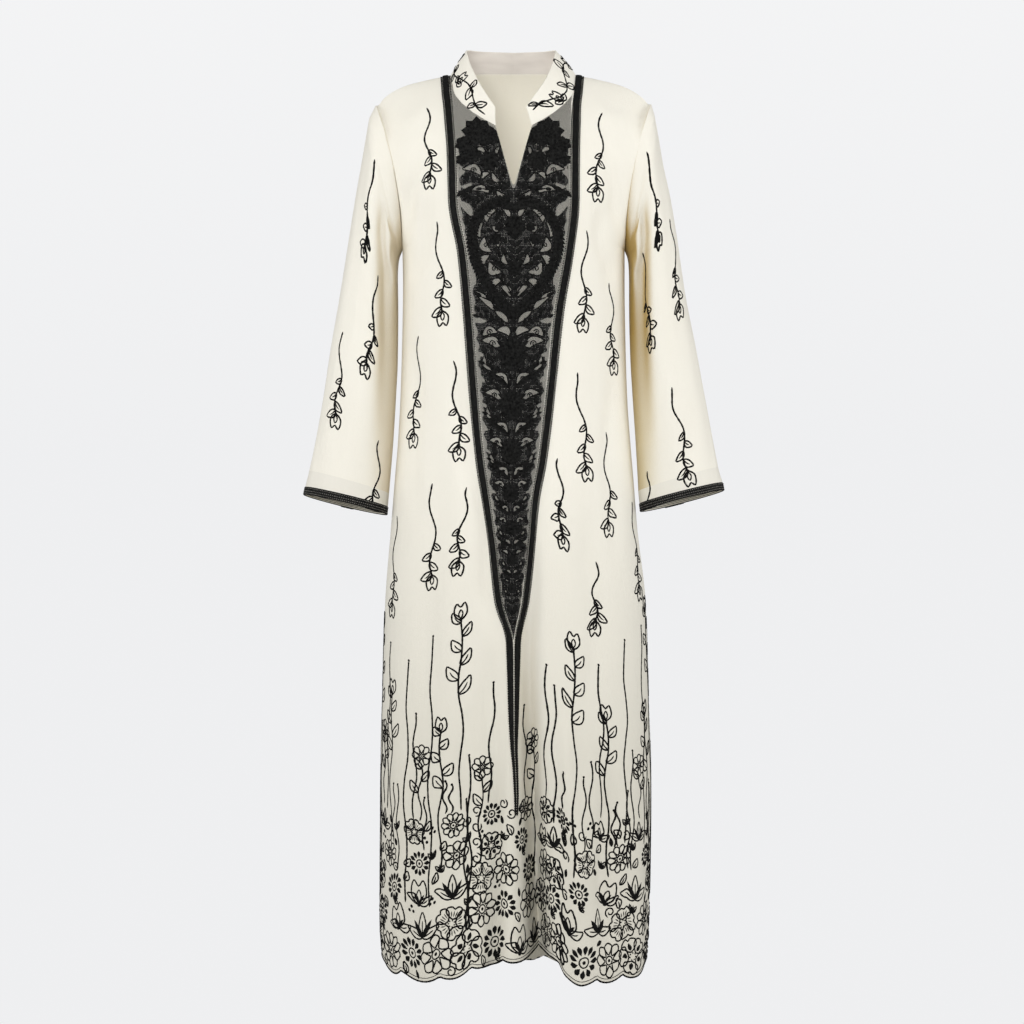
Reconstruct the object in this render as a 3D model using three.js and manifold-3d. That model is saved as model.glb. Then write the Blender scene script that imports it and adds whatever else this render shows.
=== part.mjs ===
// A long open-necked abaya, worn and hollow: cream crepe front, back, sleeves and stand collar,
// a black lace panel laid on the front between two braids, black cuff bands and a corded hem.
// Millimetres, +Z up, the front faces -Y, and the origin is on the shoulders, midway between the
// two points where the shoulder seams meet the collar.
import * as THREE from 'three';
import { mergeVertices } from 'three/addons/utils/BufferGeometryUtils.js';
import Module from 'manifold-3d';

const wasm = await Module();
wasm.setup();

const radians = (degrees) => (degrees * Math.PI) / 180;
const mix = (a, b, share) => a + (b - a) * share;
const clamp = (value) => Math.min(1, Math.max(0, value));
const smooth = (value) => clamp(value) ** 2 * (3 - 2 * clamp(value));
const point = (x, y, z) => new THREE.Vector3(x, y, z);

// ---------- driving dimensions ----------
const CREPE = 1.6;          // wall of the crepe
const COLLAR_WALL = 2.0;    // the collar is two layers
const LACE_WALL = 1.0;
const BRAID_WALL = 1.4;
const BAND_WALL = 1.2;
const SEAM = 0.3;           // gap between sewn pieces
const LAID = 0.5;           // gap under what lies on a panel
const CORD = 2.4;           // corded hem edge
const UNDERARM = -274;      // height of both underarm points
const ROUND = 2.4;          // how square the body's sections are
const TIP_HALF = 216;       // shoulder tip, from the centre
const NECK_TURN = 23;       // where the neck meets the shoulder, in degrees round the body
const SLIT_TURN = 5;        // where the slit meets the collar
const SLIT_FOOT = -181;     // foot of the V slit
const LACE_TIP = -880;      // point of the lace panel
const LACE_TOP = -34;       // where the lace ends beside the neck
const BRAID_FOOT = -1150;   // lower end of the braids
const OUTLINE_STEP = 30;    // how finely the lace's and braids' edges are cut
const ARMHOLE_FRONT = 58;   // how far the armhole bows to the front and to the back
const ARMHOLE_BACK = 62;

// The two sides hang a little unevenly.
const SIDES = {
  left: { sign: -1, tipZ: -47 },
  right: { sign: 1, tipZ: -45 },
};

/** Share of the half width at an angle round the body. */
const across = (degrees) => Math.sin(radians(degrees)) ** (2 / ROUND);
const NECK_HALF = across(NECK_TURN) * TIP_HALF;

// Body below the underarm: half widths on each side, depths to the front and to the back.
const BODY = [
  { z: -1440, left: 202, right: 203, front: 152, back: 160 },
  { z: -1372, left: 206, right: 209, front: 151, back: 158 },
  { z: -1330, left: 209, right: 212, front: 150, back: 156 },
  { z: -1121, left: 208, right: 215, front: 145, back: 150 },
  { z: -922, left: 204, right: 210, front: 139, back: 143 },
  { z: -826, left: 201, right: 207, front: 135, back: 139 },
  { z: -710, left: 192, right: 194, front: 130, back: 133 },
  { z: -635, left: 186, right: 188, front: 127, back: 128 },
  { z: -575, left: 181, right: 183, front: 124, back: 122 },
  { z: -503, left: 177, right: 178, front: 121, back: 114 },
  { z: -400, left: 174, right: 175, front: 121, back: 108 },
  { z: -330, left: 173, right: 174, front: 124, back: 110 },
  { z: -274, left: 174, right: 174, front: 125, back: 112 },
];

// Shoulder line: the height of the shoulder seam, out from the centre. It carries on over the
// neck as a ridge that only shapes the cloth below it, higher at the back.
const SHOULDER = [
  { x: 0, front: 8, back: 48 },
  { x: 60, front: 5, back: 30 },
  { x: 88, front: 2, back: 11 },
  { x: NECK_HALF, front: 0, back: 0 },
  { x: 117, front: -3, back: -3 },
  { x: 140, front: -8, back: -8 },
  { x: 168, front: -15.5, back: -15.5 },
  { x: 187, front: -24, back: -24 },
  { x: 200, front: -33, back: -33 },
  { x: 209, front: -41, back: -41 },
  { x: TIP_HALF, front: -47, back: -47 },
];

// Neckline of the front, from the foot of the slit, and of the back.
const NECK_FRONT = [
  { x: 0, z: SLIT_FOOT - 2 },
  { x: 2.6, z: SLIT_FOOT },
  { x: 28.3, z: -88 },
  { x: 46, z: -78 },
  { x: 64, z: -65.5 },
  { x: 80, z: -51 },
  { x: 92, z: -35 },
  { x: NECK_HALF, z: 0 },
];
const NECK_BACK = [
  { x: 0, z: 9 },
  { x: 45, z: 8 },
  { x: 75, z: 5 },
  { x: 90, z: 2 },
  { x: NECK_HALF, z: 0 },
];

// Top edge of the collar, by the share of the neck seam from the slit to the middle of the
// back: how far out on each side, how far back and how high.
const COLLAR_TOP = [
  { along: 0, left: 28.5, right: 20, y: -82, z: -59 },
  { along: 0.13, left: 44, right: 36, y: -72, z: -36 },
  { along: 0.28, left: 58, right: 52, y: -52, z: -10 },
  { along: 0.42, left: 69, right: 62, y: -27, z: 20 },
  { along: 0.53, left: 74, right: 66.5, y: -3, z: 40 },
  { along: 0.66, left: 70, right: 64, y: 24, z: 43 },
  { along: 0.8, left: 50, right: 47, y: 48, z: 44 },
  { along: 1, left: 0, right: 0, y: 62, z: 44 },
];

// Centre lines of the two braids, from the middle of the front, and their half width.
const BRAID = [
  { z: -1150, left: 2.9, right: 5.3, half: 1.1 },
  { z: -1120, left: 2.3, right: 6, half: 1.7 },
  { z: -1079, left: 0.6, right: 5.1, half: 2.1 },
  { z: -1042, left: -2.1, right: 3.8, half: 2.8 },
  { z: -1000, left: -3.7, right: 4.4, half: 3.9 },
  { z: -940, left: -4.9, right: 5.2, half: 4.7 },
  { z: -885, left: -6.1, right: 6.3, half: 5.5 },
  { z: -820, left: -23, right: 18.5, half: 6.2 },
  { z: -729, left: -33, right: 28.5, half: 6.6 },
  { z: -666, left: -42, right: 33.5, half: 7 },
  { z: -608, left: -51, right: 44, half: 7.2 },
  { z: -519, left: -60, right: 55, half: 7.4 },
  { z: -378, left: -70.5, right: 70, half: 7.5 },
  { z: -288, left: -79, right: 85, half: 7.5 },
  { z: -208, left: -93, right: 94, half: 7.5 },
  { z: -160, left: -94.5, right: 94.5, half: 7.5 },
  { z: -120, left: -96, right: 95, half: 7.5 },
  { z: -89, left: -98.5, right: 96, half: 7.5 },
  { z: -50, left: -102, right: 97.5, half: 7.5 },
  { z: -35, left: -104, right: 99.5, half: 7.5 },
  { z: -10, left: -106, right: 102, half: 7.5 },
  { z: 10, left: -108, right: 104, half: 7.5 },
];

// Hem of the front and back: the lobes' height, out from the middle (left is negative).
const HEM_FRONT = [
  { x: -210, z: -1374 },
  { x: -196, z: -1392 },
  { x: -160, z: -1398 },
  { x: -131, z: -1402 },
  { x: -90, z: -1393 },
  { x: -45, z: -1378 },
  { x: 5, z: -1370 },
  { x: 40, z: -1358 },
  { x: 58, z: -1364 },
  { x: 78, z: -1392 },
  { x: 108, z: -1404 },
  { x: 150, z: -1403 },
  { x: 195, z: -1398 },
  { x: 212, z: -1380 },
];
const HEM_BACK = [
  { x: -210, z: -1376 },
  { x: -150, z: -1402 },
  { x: -60, z: -1408 },
  { x: 60, z: -1408 },
  { x: 150, z: -1404 },
  { x: 212, z: -1382 },
];
const SCALLOP = 9;          // how deep the cusps cut into the hem
const SCALLOPS_FRONT = [-198, -172, -113, -64, -17, 38, 68, 128, 166, 201];
const SCALLOPS_BACK = [-200, -160, -110, -58, -4, 50, 104, 156, 198];

// Troughs that run down the body: where, how far in at four heights, and how wide each way.
const FRONT_FOLDS = [
  { x: 45, lean: -0.035, from: -860, depth: 80, low: 34, high: 17 },
  { x: -32, lean: -0.03, from: -1060, depth: 14, low: 12, high: 12 },
  { x: -158, lean: 0.02, from: -1000, depth: 16, low: 15, high: 17 },
  { x: 172, lean: -0.03, from: -1080, depth: 12, low: 15, high: 14 },
  { x: 112, lean: 0.01, from: -700, depth: -14, low: 30, high: 34 },
  { x: -96, lean: 0, from: -760, depth: -9, low: 30, high: 24 },
];
const BACK_FOLDS = [
  { x: -20, lean: 0.02, from: -560, depth: 34, low: 22, high: 26 },
  { x: 84, lean: -0.03, from: -760, depth: 26, low: 20, high: 17 },
  { x: -112, lean: 0.03, from: -820, depth: 28, low: 18, high: 22 },
  { x: 158, lean: -0.01, from: -980, depth: 15, low: 16, high: 15 },
];

// Sleeves below the armhole: outer and inner edge, depth each way, and how far forward.
const SLEEVES = {
  left: [
    { outX: 226, outZ: -67, inX: 178, inZ: -284, depth: 63, fore: 0 },
    { outX: 230.5, outZ: -94, inX: 180, inZ: -297, depth: 67, fore: 1 },
    { outX: 238, outZ: -140, inX: 181, inZ: -320, depth: 68, fore: 2 },
    { outX: 247, outZ: -190, inX: 181, inZ: -350, depth: 66, fore: 3 },
    { outX: 259, outZ: -262, inX: 181, inZ: -396, depth: 63, fore: 4 },
    { outX: 272.5, outZ: -345, inX: 181, inZ: -450, depth: 60, fore: 6 },
    { outX: 286, outZ: -425, inX: 183, inZ: -503, depth: 57, fore: 8 },
    { outX: 299, outZ: -515, inX: 187, inZ: -572, depth: 53, fore: 10 },
    { outX: 312, outZ: -588, inX: 192, inZ: -630, depth: 50, fore: 12 },
    { outX: 320.5, outZ: -626, inX: 194.5, inZ: -660, depth: 48, fore: 13 },
    { outX: 325.5, outZ: -645, inX: 196, inZ: -676, depth: 47.5, fore: 13 },
    { outX: 328, outZ: -657, inX: 198, inZ: -688, depth: 47, fore: 13 },
  ],
  right: [
    { outX: 220, outZ: -60, inX: 178, inZ: -284, depth: 63, fore: 0 },
    { outX: 226.5, outZ: -94, inX: 180, inZ: -297, depth: 67, fore: 1 },
    { outX: 234, outZ: -140, inX: 181, inZ: -320, depth: 68, fore: 2 },
    { outX: 245, outZ: -190, inX: 181.5, inZ: -350, depth: 66, fore: 3 },
    { outX: 257, outZ: -258, inX: 182, inZ: -396, depth: 63, fore: 4 },
    { outX: 269.5, outZ: -345, inX: 183, inZ: -450, depth: 60, fore: 6 },
    { outX: 286, outZ: -430, inX: 185.5, inZ: -503, depth: 57, fore: 8 },
    { outX: 301, outZ: -513, inX: 190, inZ: -572, depth: 53, fore: 10 },
    { outX: 313.5, outZ: -583, inX: 193.5, inZ: -628, depth: 50, fore: 12 },
    { outX: 321, outZ: -620, inX: 195, inZ: -656, depth: 48, fore: 13 },
    { outX: 326.5, outZ: -638, inX: 196.5, inZ: -671, depth: 47.5, fore: 13 },
    { outX: 329, outZ: -650, inX: 198.5, inZ: -683, depth: 47, fore: 13 },
  ],
};
const CUFF_DROP = 0.085;    // the back of each cuff hangs lower than its front

// The long trough of each sleeve: where round the sleeve it is, in degrees from the outer edge,
// at each ring, and how deep.
const SLEEVE_FOLD = [
  { ring: 0, turn: 40, depth: 0 },
  { ring: 2, turn: 52, depth: 5 },
  { ring: 4, turn: 78, depth: 9 },
  { ring: 6, turn: 108, depth: 9 },
  { ring: 8, turn: 138, depth: 7 },
  { ring: 10, turn: 150, depth: 3 },
  { ring: 12, turn: 156, depth: 0 },
];
const SLEEVE_FOLD_WIDTH = 24;

// How the panels are divided: round the body in degrees from the middle, and down it.
const FRONT_COLUMNS = [
  0, 0.28, SLIT_TURN, 9, 13.5, 18, 21.3, NECK_TURN, 29, 36, 43, 50, 57, 64, 71, 78, 84, 90,
];
const BACK_COLUMNS = [0, 10, 17, NECK_TURN, 31, 39, 47, 55, 63, 71, 78, 84, 90];
const FRONT_ROWS = [0.06, 0.13, 0.21, 0.29, 0.375, 0.46, 0.55, 0.62, 0.69, 0.77, 0.85, 0.925, 1];
const BACK_ROWS = [0.1, 0.22, 0.36, 0.5, 0.64, 0.77, 0.89, 1];
const ARMHOLE_STEPS = 8;
const LACE_LAST_ROW = ARMHOLE_STEPS + 8;
const BRAID_LAST_ROW = ARMHOLE_STEPS + 11;

// ---------- working functions ----------
/** A smooth curve through one column of a table, against another. */
function curve(rows, key, column) {
  const sorted = [...rows].sort((a, b) => a[key] - b[key]);
  const xs = sorted.map((row) => row[key]);
  const ys = sorted.map((row) => row[column]);
  const slopes = xs.map((_, i) => {
    if (i === 0 || i === xs.length - 1) {
      return 0;
    }
    const before = (ys[i] - ys[i - 1]) / (xs[i] - xs[i - 1]);
    const after = (ys[i + 1] - ys[i]) / (xs[i + 1] - xs[i]);
    return before * after <= 0 ? 0 : (2 * before * after) / (before + after);
  });
  slopes[0] = (ys[1] - ys[0]) / (xs[1] - xs[0]);
  slopes[xs.length - 1] = (ys.at(-1) - ys.at(-2)) / (xs.at(-1) - xs.at(-2));
  return (value) => {
    if (value <= xs[0]) {
      return ys[0];
    }
    if (value >= xs.at(-1)) {
      return ys.at(-1);
    }
    let i = 0;
    while (value > xs[i + 1]) {
      i += 1;
    }
    const gap = xs[i + 1] - xs[i];
    const t = (value - xs[i]) / gap;
    const rise = (3 - 2 * t) * t * t;
    const lead = t * (1 - t) * (1 - t) * gap;
    const tail = t * t * (t - 1) * gap;
    return mix(ys[i], ys[i + 1], rise) + lead * slopes[i] + tail * slopes[i + 1];
  };
}

/** Straight lines through a table, for edges with corners. */
function polyline(rows, key, column) {
  return (value) => {
    const last = rows.length - 2;
    let i = 0;
    while (i < last && value > rows[i + 1][key]) {
      i += 1;
    }
    const share = (value - rows[i][key]) / (rows[i + 1][key] - rows[i][key]);
    return mix(rows[i][column], rows[i + 1][column], clamp(share));
  };
}

const body = {
  left: curve(BODY, 'z', 'left'),
  right: curve(BODY, 'z', 'right'),
  front: curve(BODY, 'z', 'front'),
  back: curve(BODY, 'z', 'back'),
};
const ridge = { front: curve(SHOULDER, 'x', 'front'), back: curve(SHOULDER, 'x', 'back') };
const neck = { front: polyline(NECK_FRONT, 'x', 'z'), back: curve(NECK_BACK, 'x', 'z') };
const hem = { front: curve(HEM_FRONT, 'x', 'z'), back: curve(HEM_BACK, 'x', 'z') };

/** Half width at the armhole, from 0 at the shoulder tip to 1 at the underarm. */
function armholeX(side, share) {
  const pit = body[side](UNDERARM);
  return pit + (TIP_HALF - pit) * (1 - share) ** 2;
}

/** Scalloped hem height under a point of the body. */
function hemHeight(face, x) {
  const cusps = face === 'front' ? SCALLOPS_FRONT : SCALLOPS_BACK;
  let lobe = 0;
  for (let i = 0; i + 1 < cusps.length; i += 1) {
    if (x >= cusps[i] && x <= cusps[i + 1]) {
      lobe = Math.sin((Math.PI * (x - cusps[i])) / (cusps[i + 1] - cusps[i])) ** 0.7;
    }
  }
  return hem[face](x) + SCALLOP * (1 - lobe);
}

/** How far the cloth goes in at a fold, by its place and height. */
function foldDepth(folds, x, z) {
  let depth = 0;
  for (const fold of folds) {
    const away = x - (fold.x + fold.lean * (z + 1400));
    const width = away < 0 ? fold.low : fold.high;
    const grown = clamp((fold.from - z) / (fold.from + 1400)) ** 1.6;
    depth += fold.depth * grown * Math.exp(-((away / width) ** 2));
  }
  return depth;
}

/** Depth of the chest or back above the underarm, from 0 at the shoulder to 1 at the underarm. */
function closing(face, share) {
  if (face === 'front') {
    return (1 - (1 - clamp(share)) ** 2.2) ** 0.75;
  }
  return (1 - (1 - clamp(share)) ** 3) ** 0.6;
}

/** A point of the front or back above the underarm. */
function upperPoint(face, side, degrees, down) {
  const sign = SIDES[side].sign;
  const u = across(degrees);
  const x = u * armholeX(side, down);
  const topX = u * TIP_HALF;
  const tipShare = smooth((topX - 204) / (TIP_HALF - 204));
  const top = (value) => mix(ridge[face](value), SIDES[side].tipZ, tipShare);
  const start = degrees <= NECK_TURN ? neck[face](topX) : top(topX);
  const z = mix(start, UNDERARM, down);
  const share = clamp((top(topX) - z) / (top(topX) - UNDERARM));
  const bow = face === 'front' ? ARMHOLE_FRONT : ARMHOLE_BACK;
  const armhole = bow * (4 * share * (1 - share)) ** mix(1.6, 0.5, clamp(2 * u - 1) ** 8);
  const power = mix(0.75, 1 / ROUND, smooth((share - 0.45) / 0.55));
  const full = (1 - u ** ROUND) ** power;
  const chest = body[face](z) * closing(face, share);
  const y = armhole + (chest - armhole) * full;
  return point(sign * x, (face === 'front' ? -1 : 1) * y, z);
}

/** A point of the front or back below the underarm. */
function lowerPoint(face, side, degrees, down) {
  const sign = SIDES[side].sign;
  const u = across(degrees);
  const bottomX = sign * u * body[side](-1400);
  const z = mix(UNDERARM, hemHeight(face, bottomX), down);
  const x = sign * u * body[side](z);
  const depth = body[face](z) * (1 - u ** ROUND) ** (1 / ROUND);
  const folds = face === 'front' ? FRONT_FOLDS : BACK_FOLDS;
  const flat = 1 - u ** 6;
  const y = depth - foldDepth(folds, x, z) * flat;
  return point(x, (face === 'front' ? -1 : 1) * y, z);
}

/** The grid of a body panel's outer points, each row from one side seam to the other. */
function panelPoints(face, columns, rows) {
  const turns = [
    ...[...columns].reverse().map((degrees) => ({ side: 'left', degrees })),
    ...columns.slice(1).map((degrees) => ({ side: 'right', degrees })),
  ];
  const grid = [];
  for (let step = 0; step <= ARMHOLE_STEPS; step += 1) {
    const down = (1 - Math.cos((Math.PI * step) / ARMHOLE_STEPS)) / 2;
    grid.push(turns.map((turn) => upperPoint(face, turn.side, turn.degrees, down)));
  }
  for (const down of rows) {
    grid.push(turns.map((turn) => lowerPoint(face, turn.side, turn.degrees, down)));
  }
  return face === 'front' ? grid : grid.map((row) => row.reverse());
}

/** The direction out of the cloth at each point of a grid. */
function outward(grid, round = false) {
  return grid.map((row, i) =>
    row.map((_, j) => {
      const up = grid[Math.max(0, i - 1)][j];
      const down = grid[Math.min(grid.length - 1, i + 1)][j];
      const before = round ? row.at(j - 1) : row[Math.max(0, j - 1)];
      const after = round ? row[(j + 1) % row.length] : row[Math.min(row.length - 1, j + 1)];
      return down.clone().sub(up).cross(after.clone().sub(before)).normalize();
    }),
  );
}

/** Pulls a panel back from its seams in the plane y = 0, and squares its edges there. */
function trimToSeams(face, grid, out) {
  const side = face === 'front' ? -1 : 1;
  grid.forEach((row, i) =>
    row.forEach((spot, j) => {
      if (Math.abs(spot.y) < 0.01) {
        spot.y = (side * SEAM) / 2;
        out[i][j].y = 0;
        out[i][j].normalize();
      }
    }),
  );
}

/** The way out of the cloth along an armhole, the same for the body and the sleeve. */
function armholeOut(face, side, turn) {
  const bow = face === 'front' ? -ARMHOLE_FRONT : ARMHOLE_BACK;
  const half = (SIDES[side].tipZ - UNDERARM) / 2;
  return point(0, Math.sin(turn) / bow, Math.cos(turn) / half).normalize();
}

/** Gives a panel's armhole edges that direction. */
function alignArmholes(face, out) {
  const ends = face === 'front' ? ['left', 'right'] : ['right', 'left'];
  for (let step = 0; step <= ARMHOLE_STEPS; step += 1) {
    const turn = (Math.PI * step) / ARMHOLE_STEPS;
    out[step][0] = armholeOut(face, ends[0], turn);
    out[step][out[step].length - 1] = armholeOut(face, ends[1], turn);
  }
}

/** A closed body from its two skins, each a grid of points of the same size. */
function closedWall(outer, inner, round = false) {
  const rows = outer.length;
  const columns = outer[0].length;
  const positions = [...outer.flat(), ...inner.flat()].flatMap((spot) => spot.toArray());
  const at = (skin, i, j) => skin * rows * columns + i * columns + (j % columns);
  const index = [];
  const quad = (a, b, c, d) => index.push(a, b, c, a, c, d);
  const spans = round ? columns : columns - 1;
  for (let i = 0; i + 1 < rows; i += 1) {
    for (let j = 0; j < spans; j += 1) {
      quad(at(0, i, j), at(0, i + 1, j), at(0, i + 1, j + 1), at(0, i, j + 1));
      quad(at(1, i, j), at(1, i, j + 1), at(1, i + 1, j + 1), at(1, i + 1, j));
    }
  }
  for (let j = 0; j < spans; j += 1) {
    const last = rows - 1;
    quad(at(0, 0, j), at(0, 0, j + 1), at(1, 0, j + 1), at(1, 0, j));
    quad(at(0, last, j), at(1, last, j), at(1, last, j + 1), at(0, last, j + 1));
  }
  if (!round) {
    const last = columns - 1;
    for (let i = 0; i + 1 < rows; i += 1) {
      quad(at(0, i, 0), at(1, i, 0), at(1, i + 1, 0), at(0, i + 1, 0));
      quad(at(0, i, last), at(0, i + 1, last), at(1, i + 1, last), at(1, i, last));
    }
  }
  const geometry = new THREE.BufferGeometry();
  geometry.setAttribute('position', new THREE.Float32BufferAttribute(positions, 3));
  geometry.setIndex(index);
  return geometry;
}

const moved = (grid, out, distance) =>
  grid.map((row, i) => row.map((spot, j) => spot.clone().addScaledVector(out[i][j], distance)));

/** Turns a closed body the right way out. */
function facingOut(geometry) {
  const spots = geometry.getAttribute('position');
  const index = geometry.getIndex();
  const corner = (k) => new THREE.Vector3().fromBufferAttribute(spots, index.getX(k));
  let volume = 0;
  for (let k = 0; k < index.count; k += 3) {
    volume += corner(k).dot(corner(k + 1).cross(corner(k + 2)));
  }
  if (volume < 0) {
    for (let k = 0; k < index.count; k += 3) {
      const second = index.getX(k + 1);
      index.setX(k + 1, index.getX(k + 2));
      index.setX(k + 2, second);
    }
  }
  return geometry;
}

const garment = new THREE.Group();
garment.name = 'abaya';

function piece(name, geometry, colour, roughness) {
  const solid = facingOut(geometry);
  solid.computeVertexNormals();
  const material = new THREE.MeshStandardMaterial({ color: colour, roughness, metalness: 0 });
  material.name = name;
  const mesh = new THREE.Mesh(solid, material);
  mesh.name = name;
  garment.add(mesh);
}

const CREAM = '#efe9d8';
const INK = '#1b1a19';
const NET = '#3a3936';

// ---------- front, back and stand collar ----------
const front = panelPoints('front', FRONT_COLUMNS, FRONT_ROWS);
const frontOut = outward(front);
const back = panelPoints('back', BACK_COLUMNS, BACK_ROWS);
const backOut = outward(back);
trimToSeams('front', front, frontOut);
trimToSeams('back', back, backOut);
const frontFace = frontOut.map((row) => row.map((way) => way.clone()));
alignArmholes('front', frontOut);
alignArmholes('back', backOut);

const middle = FRONT_COLUMNS.length - 1;
const slitTop = FRONT_COLUMNS.indexOf(SLIT_TURN);
const neckPoint = FRONT_COLUMNS.indexOf(NECK_TURN);
const backMiddle = BACK_COLUMNS.length - 1;
const backNeck = BACK_COLUMNS.indexOf(NECK_TURN);

// The neck seam, from the right of the slit round the back to its left.
const seam = [];
for (let j = middle + slitTop; j <= middle + neckPoint; j += 1) {
  seam.push({ spots: front[0], outs: frontOut[0], j });
}
for (let j = backMiddle - backNeck + 1; j < backMiddle + backNeck; j += 1) {
  seam.push({ spots: back[0], outs: backOut[0], j });
}
for (let j = middle - neckPoint; j <= middle - slitTop; j += 1) {
  seam.push({ spots: front[0], outs: frontOut[0], j });
}
const neckSeam = seam.map(({ spots, j }) => {
  const { x, y, z } = spots[j];
  return point(x, Math.abs(y) < 1 ? 0 : y, z);
});

const lengths = [0];
for (let k = 1; k < neckSeam.length; k += 1) {
  lengths.push(lengths[k - 1] + neckSeam[k].distanceTo(neckSeam[k - 1]));
}
const topLeft = curve(COLLAR_TOP, 'along', 'left');
const topRight = curve(COLLAR_TOP, 'along', 'right');
const topY = curve(COLLAR_TOP, 'along', 'y');
const topZ = curve(COLLAR_TOP, 'along', 'z');
const collarTop = neckSeam.map((_, k) => {
  const whole = (2 * lengths[k]) / lengths.at(-1);
  const along = whole <= 1 ? whole : 2 - whole;
  return point(whole <= 1 ? topRight(along) : -topLeft(along), topY(along), topZ(along));
});
const collarFoot = neckSeam.map((spot, k) => {
  const rise = collarTop[k].clone().sub(spot).normalize();
  return spot.clone().addScaledVector(rise, SEAM * 1.5);
});
const collarMid = neckSeam.map((_, k) => {
  const between = collarFoot[k].clone().lerp(collarTop[k], 0.5);
  const away = point(between.x, between.y + 10, 0).normalize();
  return between.addScaledVector(away, 1.5);
});
const collar = [collarTop, collarMid, collarFoot];
const collarOut = outward(collar);
seam.forEach(({ outs, j }, k) => {
  const shared = outs[j].clone().add(collarOut[2][k]);
  if (Math.abs(neckSeam[k].y) < 1) {
    shared.y = 0;
  }
  shared.normalize();
  outs[j] = shared;
  collarOut[2][k] = shared;
});
back[0].forEach((spot, j) => {
  if (j === backMiddle - backNeck || j === backMiddle + backNeck) {
    const shoulder = spot.x > 0 ? middle + neckPoint : middle - neckPoint;
    backOut[0][j] = frontOut[0][shoulder].clone();
  }
});

piece('body_front', closedWall(front, moved(front, frontOut, -CREPE)), CREAM, 0.85);
piece('body_back', closedWall(back, moved(back, backOut, -CREPE)), CREAM, 0.85);
piece('collar', closedWall(collar, moved(collar, collarOut, -COLLAR_WALL)), CREAM, 0.85);

// ---------- sleeves and cuff bands ----------
const AROUND = 2 * ARMHOLE_STEPS;
const foldTurn = curve(SLEEVE_FOLD, 'ring', 'turn');
const foldIn = curve(SLEEVE_FOLD, 'ring', 'depth');

/** One ring of a sleeve: 0 is sewn to the armhole, the last is the cuff. */
function sleeveRing(side, number) {
  const { sign, tipZ } = SIDES[side];
  const spots = [];
  for (let k = 0; k < AROUND; k += 1) {
    const turn = (2 * Math.PI * k) / AROUND;
    const ahead = Math.sin(turn);
    if (number === 0) {
      const down = (1 - Math.cos(turn)) / 2;
      const bow = ahead > 0 ? ARMHOLE_FRONT : ARMHOLE_BACK;
      const x = armholeX(side, down) + SEAM;
      spots.push(point(sign * x, -bow * ahead, mix(tipZ, UNDERARM, down)));
      continue;
    }
    const row = SLEEVES[side][number - 1];
    const half = point(row.outX - row.inX, 0, row.outZ - row.inZ).multiplyScalar(0.5);
    const centre = point(row.inX + half.x, -row.fore, row.inZ + half.z);
    const degrees = (turn * 180) / Math.PI;
    let sunk = 0;
    for (const where of [foldTurn(number), 360 - foldTurn(number) - 14]) {
      sunk += foldIn(number) * Math.exp(-(((degrees - where) / SLEEVE_FOLD_WIDTH) ** 2));
    }
    const shrink = 1 - sunk / row.depth;
    const spot = centre
      .clone()
      .addScaledVector(half, Math.cos(turn) * shrink)
      .add(point(0, -row.depth * ahead * shrink, CUFF_DROP * row.depth * ahead * (number / 12)));
    spots.push(point(sign * spot.x, spot.y, spot.z));
  }
  return sign < 0 ? spots : spots.reverse();
}

for (const side of ['left', 'right']) {
  const rings = [];
  for (let number = 0; number <= SLEEVES[side].length; number += 1) {
    rings.push(sleeveRing(side, number));
  }
  const out = outward(rings, true);
  out[0].forEach((_, k) => {
    const turn = (2 * Math.PI * (side === 'left' ? k : AROUND - 1 - k)) / AROUND;
    out[0][k] = armholeOut(Math.sin(turn) > 0 ? 'front' : 'back', side, turn);
    if (Math.sin(turn) < 0) {
      out[0][k].y = Math.abs(out[0][k].y);
    }
  });
  piece(`sleeve_${side}`, closedWall(rings, moved(rings, out, -CREPE), true), CREAM, 0.85);
  const ends = rings.slice(-2);
  const endsOut = out.slice(-2);
  const under = moved(ends, endsOut, SEAM);
  piece(`cuff_band_${side}`, closedWall(moved(ends, endsOut, SEAM + BAND_WALL), under, true), INK, 0.8);
}

// ---------- lace panel and braids ----------
const braid = {
  left: curve(BRAID, 'z', 'left'),
  right: curve(BRAID, 'z', 'right'),
  half: curve(BRAID, 'z', 'half'),
};

/** The front's own points, moved out, between two columns and down to one row. */
function laidOn(columnsEachWay, lastRow, thick) {
  const cut = (grid) =>
    grid
      .slice(0, lastRow + 1)
      .map((row) => row.slice(middle - columnsEachWay, middle + columnsEachWay + 1));
  const spots = cut(front);
  const out = cut(frontFace);
  return closedWall(moved(spots, out, LAID + thick), moved(spots, out, LAID));
}

/** A solid for joins and cuts, from a closed body. */
function solid(geometry) {
  const vertProperties = new Float32Array(geometry.getAttribute('position').array);
  const triVerts = new Uint32Array(facingOut(geometry).getIndex().array);
  return new wasm.Manifold(new wasm.Mesh({ numProp: 3, vertProperties, triVerts }));
}

/** Cuts a laid wall to an outline seen from the front, from its left and right edges. */
function cutTo(geometry, leftEdge, rightEdge, top, bottom) {
  const steps = Math.round((top - bottom) / OUTLINE_STEP);
  const down = Array.from({ length: steps + 1 }, (_, i) => top - i * OUTLINE_STEP);
  const outline = [
    ...down.map((z) => new THREE.Vector2(leftEdge(z), z)),
    ...[...down].reverse().map((z) => new THREE.Vector2(rightEdge(z), z)),
  ];
  const block = new THREE.ExtrudeGeometry(new THREE.Shape(outline), {
    depth: 400,
    bevelEnabled: false,
  });
  block.deleteAttribute('normal');
  block.deleteAttribute('uv');
  const prism = mergeVertices(block.rotateX(Math.PI / 2).translate(0, 30, 0), 1e-4);
  const mesh = solid(geometry).intersect(solid(prism)).getMesh();
  const result = new THREE.BufferGeometry();
  result.setAttribute('position', new THREE.BufferAttribute(mesh.vertProperties, 3));
  result.setIndex(new THREE.BufferAttribute(mesh.triVerts, 1));
  return result;
}

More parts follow.
